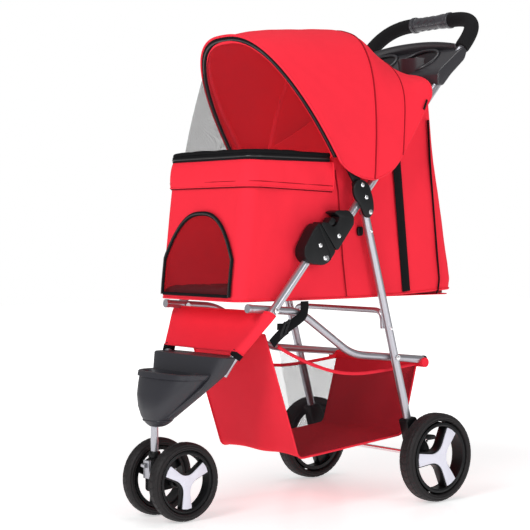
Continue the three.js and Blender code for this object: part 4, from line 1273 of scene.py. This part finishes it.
rows, cols = 110, 170
uRows = np.linspace(0, 1, rows)
vGrid = np.array([evenRib(u, cols) for u in uRows])
canopyPts = canopySpot(uRows[:, None], vGrid)
inner = canopySpot(uRows[:, None], vGrid, 0.01)
outward = canopyPts - inner
lengths = np.linalg.norm(outward, axis=-1, keepdims=True)
outward = outward / np.maximum(lengths, 1e-6)
upness = np.sin(math.pi * np.linspace(0, 1, cols))[None] ** 0.5
sag = -0.0030 * np.sin(math.pi * np.clip(uRows / 0.5, 0, 1))[:, None] * upness
sag += -0.0035 * np.sin(math.pi * np.clip((uRows - 0.5) / 0.5, 0, 1))[:, None] * upness
folds = waves(canopyPts, 31, 0.11, 0.0032, (1, 1, 1)) + waves(canopyPts, 5, 0.045, 0.0009)
free = np.clip(uRows / 0.06, 0, 1)[:, None] * np.clip((1 - uRows) / 0.05, 0, 1)[:, None]
nearEdge = np.minimum(np.linspace(0, 1, cols), 1 - np.linspace(0, 1, cols))[None]
loose = np.clip(nearEdge / 0.05, 0.15, 1)
canopyPts = canopyPts + outward * ((sag + folds * free) * loose)[..., None]
canopyCloth = cloth("canopyCloth", canopyPts, redCloth, (0, 0.03, 0.68), thick=0.0014,
                    lining=lining)


def onCanopy(u, v, out=0.0):
    pts = canopySpot(u, v)
    lower = canopySpot(u, v, 0.01)
    way = pts - lower
    way = way / np.maximum(np.linalg.norm(way, axis=-1, keepdims=True), 1e-6)
    return pts + way * out


def blended(obj, stands=()):
    """Bakes a canopy piece's placement into its mesh and hides the parts it stands in for."""
    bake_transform(obj)
    if stands:
        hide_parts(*stands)
    return obj


blended(canopyCloth, ["canopy"])
rimV = evenRib(0.0, 150)
rim = canopySpot(np.zeros(150), rimV)
rimIn = canopySpot(np.zeros(150), rimV, 0.01)
inward = rimIn - rim
inward /= np.maximum(np.linalg.norm(inward, axis=1)[:, None], 1e-6)
tangent = np.gradient(rim, axis=0)
tangent /= np.linalg.norm(tangent, axis=1)[:, None]
rimPlane = np.cross(canopySpot(0.0, 0.5) - rim[0], np.array([1.0, 0, 0]))
rimPlane /= np.linalg.norm(rimPlane)
if rimPlane[1] > 0:
    rimPlane = -rimPlane
inwardFlat = np.cross(tangent, rimPlane)
inwardFlat *= np.sign(np.einsum("ij,ij->i", inwardFlat, np.array([0, 0, 0.72]) - rim))[:, None]


def bandAlong(name, path, across, front, width, thick, mat):
    """A flat tape along a path: across is its width direction at each point."""
    normal = np.cross(np.gradient(path, axis=0), across)
    normal /= np.linalg.norm(normal, axis=1)[:, None]
    normal *= np.sign(normal @ front)[:, None]
    corners = [(-0.5, -0.5), (-0.5, 0.5), (-0.3, 0.9), (0.3, 0.9), (0.5, 0.5), (0.5, -0.5)]
    rings = np.stack([path + across * width * a + normal * thick * b for a, b in corners], 1)
    count = len(corners)
    faces = gridFaces(len(path), count, wrap=True)
    faces += [list(range(count))[::-1], [(len(path) - 1) * count + j for j in range(count)]]
    obj = turnOut(newMesh(name, rings.reshape(-1, 3), faces, mat))
    run = np.concatenate([[0], np.cumsum(np.linalg.norm(np.diff(path, axis=0), axis=1))])
    uv = np.stack([np.repeat(run, count), np.tile(np.arange(count) * width / 4, len(path))], 1)
    setUv(obj, uv)
    return obj


def sleeveAlong(name, path, radius, mat, body):
    return place(tubeOf(name, path, radius, mat, 14), body)


trimBody = "canopy_front"
place(piping("rimPipingOuter", rim + rimPlane * 0.0006, 0.0024, redTrim), trimBody)
zipMiddle = rim + inwardFlat * 0.0080 + rimPlane * 0.0010
place(bandAlong("rimZipBand", zipMiddle[3:-3], inwardFlat[3:-3], rimPlane, 0.0110, 0.0016,
                zipTape), trimBody)
place(bandAlong("rimZipTrack", zipMiddle[3:-3] + rimPlane * 0.0010, inwardFlat[3:-3], rimPlane,
                0.0036, 0.0018, zipTeeth), trimBody)
innerEdge = rim + inwardFlat * 0.0148 + rimPlane * 0.0002
place(piping("rimPipingInner", innerEdge[3:-3], 0.0019, redTrim), trimBody)

for name, u, radius in (("canopySeamMid", 0.5, 0.0015), ("canopySeamRear", 0.74, 0.0010)):
    row = int(round(u * (rows - 1)))
    blended(piping(name, canopyPts[row] + outward[row] * 0.0004, radius, redSeam))
hemV = evenRib(1.0, 120)
backTop = canopySpot(np.full(120, 0.9985), hemV, 0.0016)
rearEdge = walls[-1][walls[-1][:, 1] > 0.12]
rearEdge = rearEdge[np.argsort(rearEdge[:, 0])]
backLow = backTop * [0.118 / 0.1575, 1, 1]
backLow[:, 1] = np.interp(backLow[:, 0], rearEdge[:, 0], rearEdge[:, 1]) - 0.002
backLow[:, 2] = np.interp(backLow[:, 0], rearEdge[:, 0], rearEdge[:, 2]) - 0.006
down = np.linspace(0, 1, 20)[:, None, None]
backPts = backLow[None] + (backTop[None] - backLow[None]) * down
canopyBack = cloth("canopyBack", backPts, redCloth, (0, 0, 0.78), thick=0.0012, lining=lining)
place(canopyBack, "handle_frame")
blended(piping("canopyRearHem", onCanopy(np.full(120, 0.999), hemV, -0.0004), 0.0020, redTrim))
for end, tag in ((0.0, "L"), (1.0, "R")):
    edge = canopySpot(np.linspace(0, 1, 120), np.full(120, end))
    blended(piping("canopyEdge" + tag, edge - [0.0007 if end == 0 else -0.0007, 0, 0], 0.0018,
                   redTrim))


def hoopSleeve(key, body, radius):
    spec = hoops[key]
    start = math.asin((0.078 / spec["reach"]) ** (2.6 / 2))
    path = hoopPoint(spec, np.linspace(start, math.pi - start, 90))
    sleeveAlong(key + "HoopSleeve", path, radius, lining, body)


hoopSleeve("middle", "canopy_middle", 0.0052)
hoopSleeve("front", "canopy_front", 0.0050)

# ---------------------------------------------------------------- mesh window
windowRows, windowCols = 40, 150
v = np.linspace(0, 1, windowCols)
turn = math.pi * v
footX = 0.1245 * np.sign(np.cos(turn)) * np.abs(np.cos(turn)) ** 0.35
footY = -0.040 - 0.180 * np.sin(turn) ** 0.5
foot = np.stack([footX, footY, np.full(windowCols, 0.6625)], 1)
run = np.concatenate([[0], np.cumsum(np.linalg.norm(np.diff(foot, axis=0), axis=1))])
even = np.linspace(0, run[-1], windowCols)
foot = np.stack([np.interp(even, run, foot[:, k]) for k in range(3)], 1)
topEdge = innerEdge[6:-6]
run = np.concatenate([[0], np.cumsum(np.linalg.norm(np.diff(topEdge, axis=0), axis=1))])
topEdge = np.stack([np.interp(np.linspace(0, run[-1], windowCols), run, topEdge[:, k])
                    for k in range(3)], 1)
t = np.linspace(0, 1, windowRows)[:, None, None]
window = foot[None] + (topEdge[None] - foot[None]) * t
bow = np.sin(math.pi * np.linspace(0, 1, windowRows))[:, None]
centre = np.sin(math.pi * np.linspace(0, 1, windowCols))[None]
window[..., 1] -= 0.006 * bow * centre
window += (waves(window, 77, 0.12, 0.0015) * bow)[..., None] * np.array([0, -1, 0])
windowNet = cloth("meshWindow", window, blackNet, (0, 0, 0.7))
place(windowNet, "canopy_front", ["mesh_window"], "black_mesh")
for end, tag in ((1, "L"), (-1, "R")):
    slotPath = [(end * 0.1590, 0.182, 0.762), (end * 0.1590, 0.187, 0.772), (end * 0.1585, 0.1915, 0.781)]
    slotPiece = sweep("canopySlot" + tag, smoothPath(slotPath, 4), flatProfile(0.0045, 0.0016, 0.3),
                      zipTape, up=(1, 0, 0))
    blended(slotPiece)
print("canopy ready")

# ---------------------------------------------------------------- front panel
panelRows, wrapSteps = 26, 9
forward = np.array([0, -0.82, 0.57])
tubeLine = bentPath(frontRoute, 0.014, 8)[::-1]
panelLow, panelHigh = 0.3040, 0.3745
panelPts = []
for r in np.linspace(0, 1, panelRows):
    z = panelLow + (panelHigh - panelLow) * r
    middle = np.array([np.interp(z, tubeLine[:, 2], tubeLine[:, k]) for k in range(3)])
    left = [middle + 0.0100 * (math.cos(a) * np.array([1.0, 0, 0]) + math.sin(a) * forward)
            for a in np.radians(np.linspace(-110, 90, wrapSteps))]
    right = [p * np.array([-1, 1, 1]) for p in left[::-1]]
    across = np.linspace(0, 1, 40)[1:-1, None]
    span = left[-1] + (right[0] - left[-1]) * across
    span = span - forward * np.sin(math.pi * across) * (0.002 + 0.003 * math.sin(math.pi * r))
    panelPts.append(np.vstack([left, span, right]))
panelPts = np.array(panelPts)
panelPts += (waves(panelPts, 12, 0.06, 0.0008) )[..., None] * forward
panelCloth = cloth("frontPanel", panelPts, redCloth, (0, 0.2, 0.2), thick=0.0012)
place(panelCloth, "front_frame", ["front_panel"], "red_cloth")
for row, tag in ((0, "Low"), (-1, "High")):
    place(piping("panelHem" + tag, panelPts[row, 3:-3], 0.0015, redTrim), "front_frame")
low = np.array([[np.interp(z, tubeLine[:, 2], tubeLine[:, k]) for k in range(3)]
                for z in np.linspace(0.2975, 0.3060, 6)])
panelStrap = place(tubeOf("panelStrapL", low, 0.0112, webbing, 20), "front_frame")
place(mirrorX(panelStrap, "panelStrapR"), "front_frame")
print("front panel ready")

# ---------------------------------------------------------------- basket
basket = {
    "half": 0.1165,
    "frontTop": (-0.182, 0.336), "frontLow": (-0.101, 0.102),
    "rearLow": (0.1665, 0.1255), "rearTop": (0.2045, 0.2625),
    "binding": [(-0.150, 0.313), (-0.118, 0.297), (-0.070, 0.277), (-0.010, 0.259),
                (0.051, 0.252), (0.110, 0.254), (0.160, 0.258), (0.2045, 0.2625)],
}
halfB = basket["half"]


def basketPath():
    """The cloth's middle line from the front top down, along the floor and up the back."""
    ft, fl = np.array(basket["frontTop"]), np.array(basket["frontLow"])
    rl, rt = np.array(basket["rearLow"]), np.array(basket["rearTop"])
    return bentPath([np.array([0, *ft]), np.array([0, *fl]), np.array([0, *rl]),
                     np.array([0, *rt])], 0.012, 8)[:, 1:]


line = basketPath()
run = np.concatenate([[0], np.cumsum(np.linalg.norm(np.diff(line, axis=0), axis=1))])
even = np.linspace(0, run[-1], 110)
line = np.stack([np.interp(even, run, line[:, k]) for k in range(2)], 1)
xs = np.linspace(-halfB, halfB, 50)
trough = np.stack([np.broadcast_to(xs, (110, 50)), np.repeat(line[:, 0, None], 50, 1),
                   np.repeat(line[:, 1, None], 50, 1)], 2)
normal = np.gradient(line, axis=0)
normal = np.stack([normal[:, 1], -normal[:, 0]], 1)
normal /= np.linalg.norm(normal, axis=1)[:, None]
middleX = 1 - (xs / halfB) ** 2
lift = waves(trough, 41, 0.09, 0.0036) * middleX + 0.0022 * middleX
lift = np.clip(lift, -0.003, 0.005)
trough[..., 1] -= normal[:, 0, None] * lift
trough[..., 2] -= normal[:, 1, None] * lift
troughCloth = cloth("basketCloth", trough, redCloth, (0, 0.04, 0.3), thick=0.0014,
                     lining=shadedRed)


def basketPiece(obj, stands=(), slotName=None):
    place(obj, "side_tubes", stands, slotName)
    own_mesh(obj)
    return obj


binding = smoothPath([(0, *p) for p in basket["binding"]], 12)[:, 1:]
run = np.concatenate([[0], np.cumsum(np.linalg.norm(np.diff(binding, axis=0), axis=1))])
netCols = 90
upper = np.stack([np.interp(np.linspace(0, run[-1], netCols), run, binding[:, k])
                  for k in range(2)], 1)
ends = [np.array(basket["binding"][0]), np.array(basket["frontLow"]),
        np.array(basket["rearLow"]), np.array(basket["rearTop"])]
lowerLine = np.array([[0, *p] for p in ends])
lowerPath = bentPath(lowerLine, 0.010, 6)[:, 1:]
run = np.concatenate([[0], np.cumsum(np.linalg.norm(np.diff(lowerPath, axis=0), axis=1))])
lower = np.stack([np.interp(np.linspace(0, run[-1], netCols), run, lowerPath[:, k])
                  for k in range(2)], 1)
for sign, tag in ((1, "L"), (-1, "R")):
    t = np.linspace(0, 1, 36)[:, None, None]
    side = lower[None] + (upper[None] - lower[None]) * t
    x = sign * (halfB - 0.004 * np.sin(math.pi * np.linspace(0, 1, 36))[:, None]
                * np.sin(math.pi * np.linspace(0, 1, netCols))[None])
    pts = np.concatenate([np.broadcast_to(x, side.shape[:2])[..., None], side], 2)
    net = cloth("basketNet" + tag, pts, blackNet, (0, 0.04, 0.2))
    basketPiece(net)
    bindPath = np.stack([np.full(netCols, sign * halfB), upper[:, 0], upper[:, 1]], 1)
    basketPiece(sweep("basketBinding" + tag, bindPath, flatProfile(0.0034, 0.0066, 0.4), redTrim,
                      up=(0, 0, 1)))
    edgePath = np.stack([np.full(len(line), sign * (halfB + 0.0004)), line[:, 0], line[:, 1]], 1)
    basketPiece(piping("basketEdge" + tag, edgePath, 0.0020, redTrim))
basketPiece(troughCloth, ["basket"], "red_cloth")
hemTop = np.array([[x, *basket["frontTop"]] for x in np.linspace(-halfB, halfB, 30)])
basketPiece(piping("basketFrontHem", hemTop, 0.0022, redTrim))
rearHem = np.array([[x, 0.2085, 0.2660] for x in np.linspace(-0.139, 0.139, 40)])
basketPiece(tubeOf("basketRearSleeve", rearHem, 0.0095, redCloth, 16))
for sign, tag in ((1, "L"), (-1, "R")):
    tubeEnd = turned("sideTubeCap" + tag, [(0.0001, 0.0), (0.0078, 0.0), (0.0082, 0.001),
                     (0.0082, 0.006), (0.0001, 0.006)], (sign * 0.127, 0.2115, 0.2712), (0, 1, -0.10),
                     blackPlastic, 24)
    place(tubeEnd, "side_tubes")
    front = turned("sideTubeFrontCap" + tag, [(0.0001, 0.0), (0.0078, 0.0), (0.0082, 0.001),
                   (0.0082, 0.008), (0.0001, 0.008)], (sign * 0.127, -0.2225, 0.3857),
                   (0, -1, 0.075), silver, 24)
    place(front, "side_tubes")
print("basket ready")

# ---------------------------------------------------------------- strap and buckle
strap = {
    "x": 0.1390, "width": 0.019, "thick": 0.0014,
    "drop": [(-0.1055, 0.3965), (-0.1055, 0.3850), (-0.1085, 0.3720), (-0.1200, 0.3635),
             (-0.1400, 0.3530), (-0.1560, 0.3445)],
    "loop": [(-0.1480, 0.3480), (-0.1600, 0.3515), (-0.1720, 0.3520)],
    "tail": [(-0.1500, 0.3470), (-0.1640, 0.3390), (-0.1760, 0.3300), (-0.1860, 0.3215)],
    "bars": [((-0.1440, 0.3640), (-0.1560, 0.3360)), ((-0.1540, 0.3600), (-0.1660, 0.3330))],
    "rails": [((-0.1430, 0.3620), (-0.1580, 0.3560)), ((-0.1540, 0.3380), (-0.1690, 0.3320))],
}


def inStrapPlane(points, out=0.0, smooth=8):
    """Points (y, z) of the strap's plane as a smooth path, moved outwards by out."""
    return smoothPath([(strap["x"] + out, *p) for p in points], smooth)


strapPiece = sweep("foldStrap", inStrapPlane(strap["drop"]),
                   flatProfile(strap["width"], strap["thick"], 0.3), webbing, up=(1, 0, 0))
strapPieces = [
    sweep("strapLoop", inStrapPlane(strap["loop"], 0.0018), flatProfile(0.012, 0.0014, 0.3),
          webbing, up=(1, 0, 0)),
    sweep("strapTail", inStrapPlane(strap["tail"], 0.0030), flatProfile(0.018, 0.0014, 0.3),
          webbing, up=(1, 0, 0))]
for key in ("bars", "rails"):
    for k, (a, b) in enumerate(strap[key]):
        ends = np.array([(strap["x"] + 0.0028, *a), (strap["x"] + 0.0028, *b)])
        strapPieces.append(tubeOf(f"buckle{key}{k}", smoothPath(ends, 4), 0.0026, blackPlastic, 12))
strapAll = joined("foldStrap", [strapPiece] + strapPieces)
place(strapAll, "side_tubes", ["fold_strap"], "webbing")
print("strap ready")

# ---------------------------------------------------------------- studio
studio = {"near": 0.7, "far": 1.7, "nearGlow": 0.50, "farGlow": 1.0}
floorMat = material("floor", (0.93, 0.93, 0.93), 0.3, Emission_Color=(1, 1, 1, 1))
floorSpot = nodeOf(floorMat, "ShaderNodeTexCoord")
away = nodeOf(floorMat, "ShaderNodeVectorMath", operation="LENGTH")
glow = nodeOf(floorMat, "ShaderNodeMapRange", interpolation_type="SMOOTHSTEP")
for socket, key in (("From Min", "near"), ("From Max", "far"), ("To Min", "nearGlow"),
                    ("To Max", "farGlow")):
    glow.inputs[socket].default_value = studio[key]
floorLinks = floorMat.node_tree.links
floorLinks.new(floorSpot.outputs["Object"], away.inputs[0])
floorLinks.new(away.outputs["Value"], glow.inputs["Value"])
floorLinks.new(glow.outputs["Result"],
               floorMat.node_tree.nodes["Principled BSDF"].inputs["Emission Strength"])
bpy.ops.mesh.primitive_plane_add(size=14, location=(0, 0, -0.0005))
floorPlane = bpy.context.object
floorPlane.name = "studioFloor"
floorPlane.data.materials.append(floorMat)

world = bpy.data.worlds.new("studio")
bpy.context.scene.world = world
world.use_nodes = True
world.node_tree.nodes["Background"].inputs["Color"].default_value = (1, 1, 1, 1)
background = world.node_tree.nodes["Background"]
seen = world.node_tree.nodes.new("ShaderNodeLightPath")
level = world.node_tree.nodes.new("ShaderNodeMapRange")
level.inputs["To Min"].default_value = 0.30
level.inputs["To Max"].default_value = 1.0
world.node_tree.links.new(seen.outputs["Is Camera Ray"], level.inputs["Value"])
world.node_tree.links.new(level.outputs["Result"], background.inputs["Strength"])


def softLight(name, place, aim, size, power):
    data = bpy.data.lights.new(name, "AREA")
    data.size = size
    data.energy = power
    obj = bpy.data.objects.new(name, data)
    bpy.context.scene.collection.objects.link(obj)
    obj.location = place
    from mathutils import Vector
    way = Vector(aim) - Vector(place)
    obj.rotation_euler = way.to_track_quat("-Z", "Y").to_euler()


softLight("key", (1.0, -2.8, 2.2), (0, 0, 0.5), 1.2, 49)
softLight("fill", (3.2, 0.2, 1.3), (0, 0, 0.5), 1.4, 23)
softLight("top", (0, 0.3, 3.2), (0, 0, 0), 1.6, 22)

bpy.context.scene.view_settings.view_transform = "Standard"
bpy.context.scene.view_settings.exposure = 0.0

# ---------------------------------------------------------------- camera
azimuth, pitch = math.radians(51.0), math.radians(1.3)
cameraData = bpy.data.cameras.new("camera")
cameraData.sensor_width = 36
cameraData.lens = 101.2
camera = bpy.data.objects.new("camera", cameraData)
bpy.context.scene.collection.objects.link(camera)
camera.location = (2.2212, -1.8852, 0.5251)
camera.rotation_euler = (math.pi / 2 - pitch, 0, azimuth)
bpy.context.scene.camera = camera

print("scene ready")
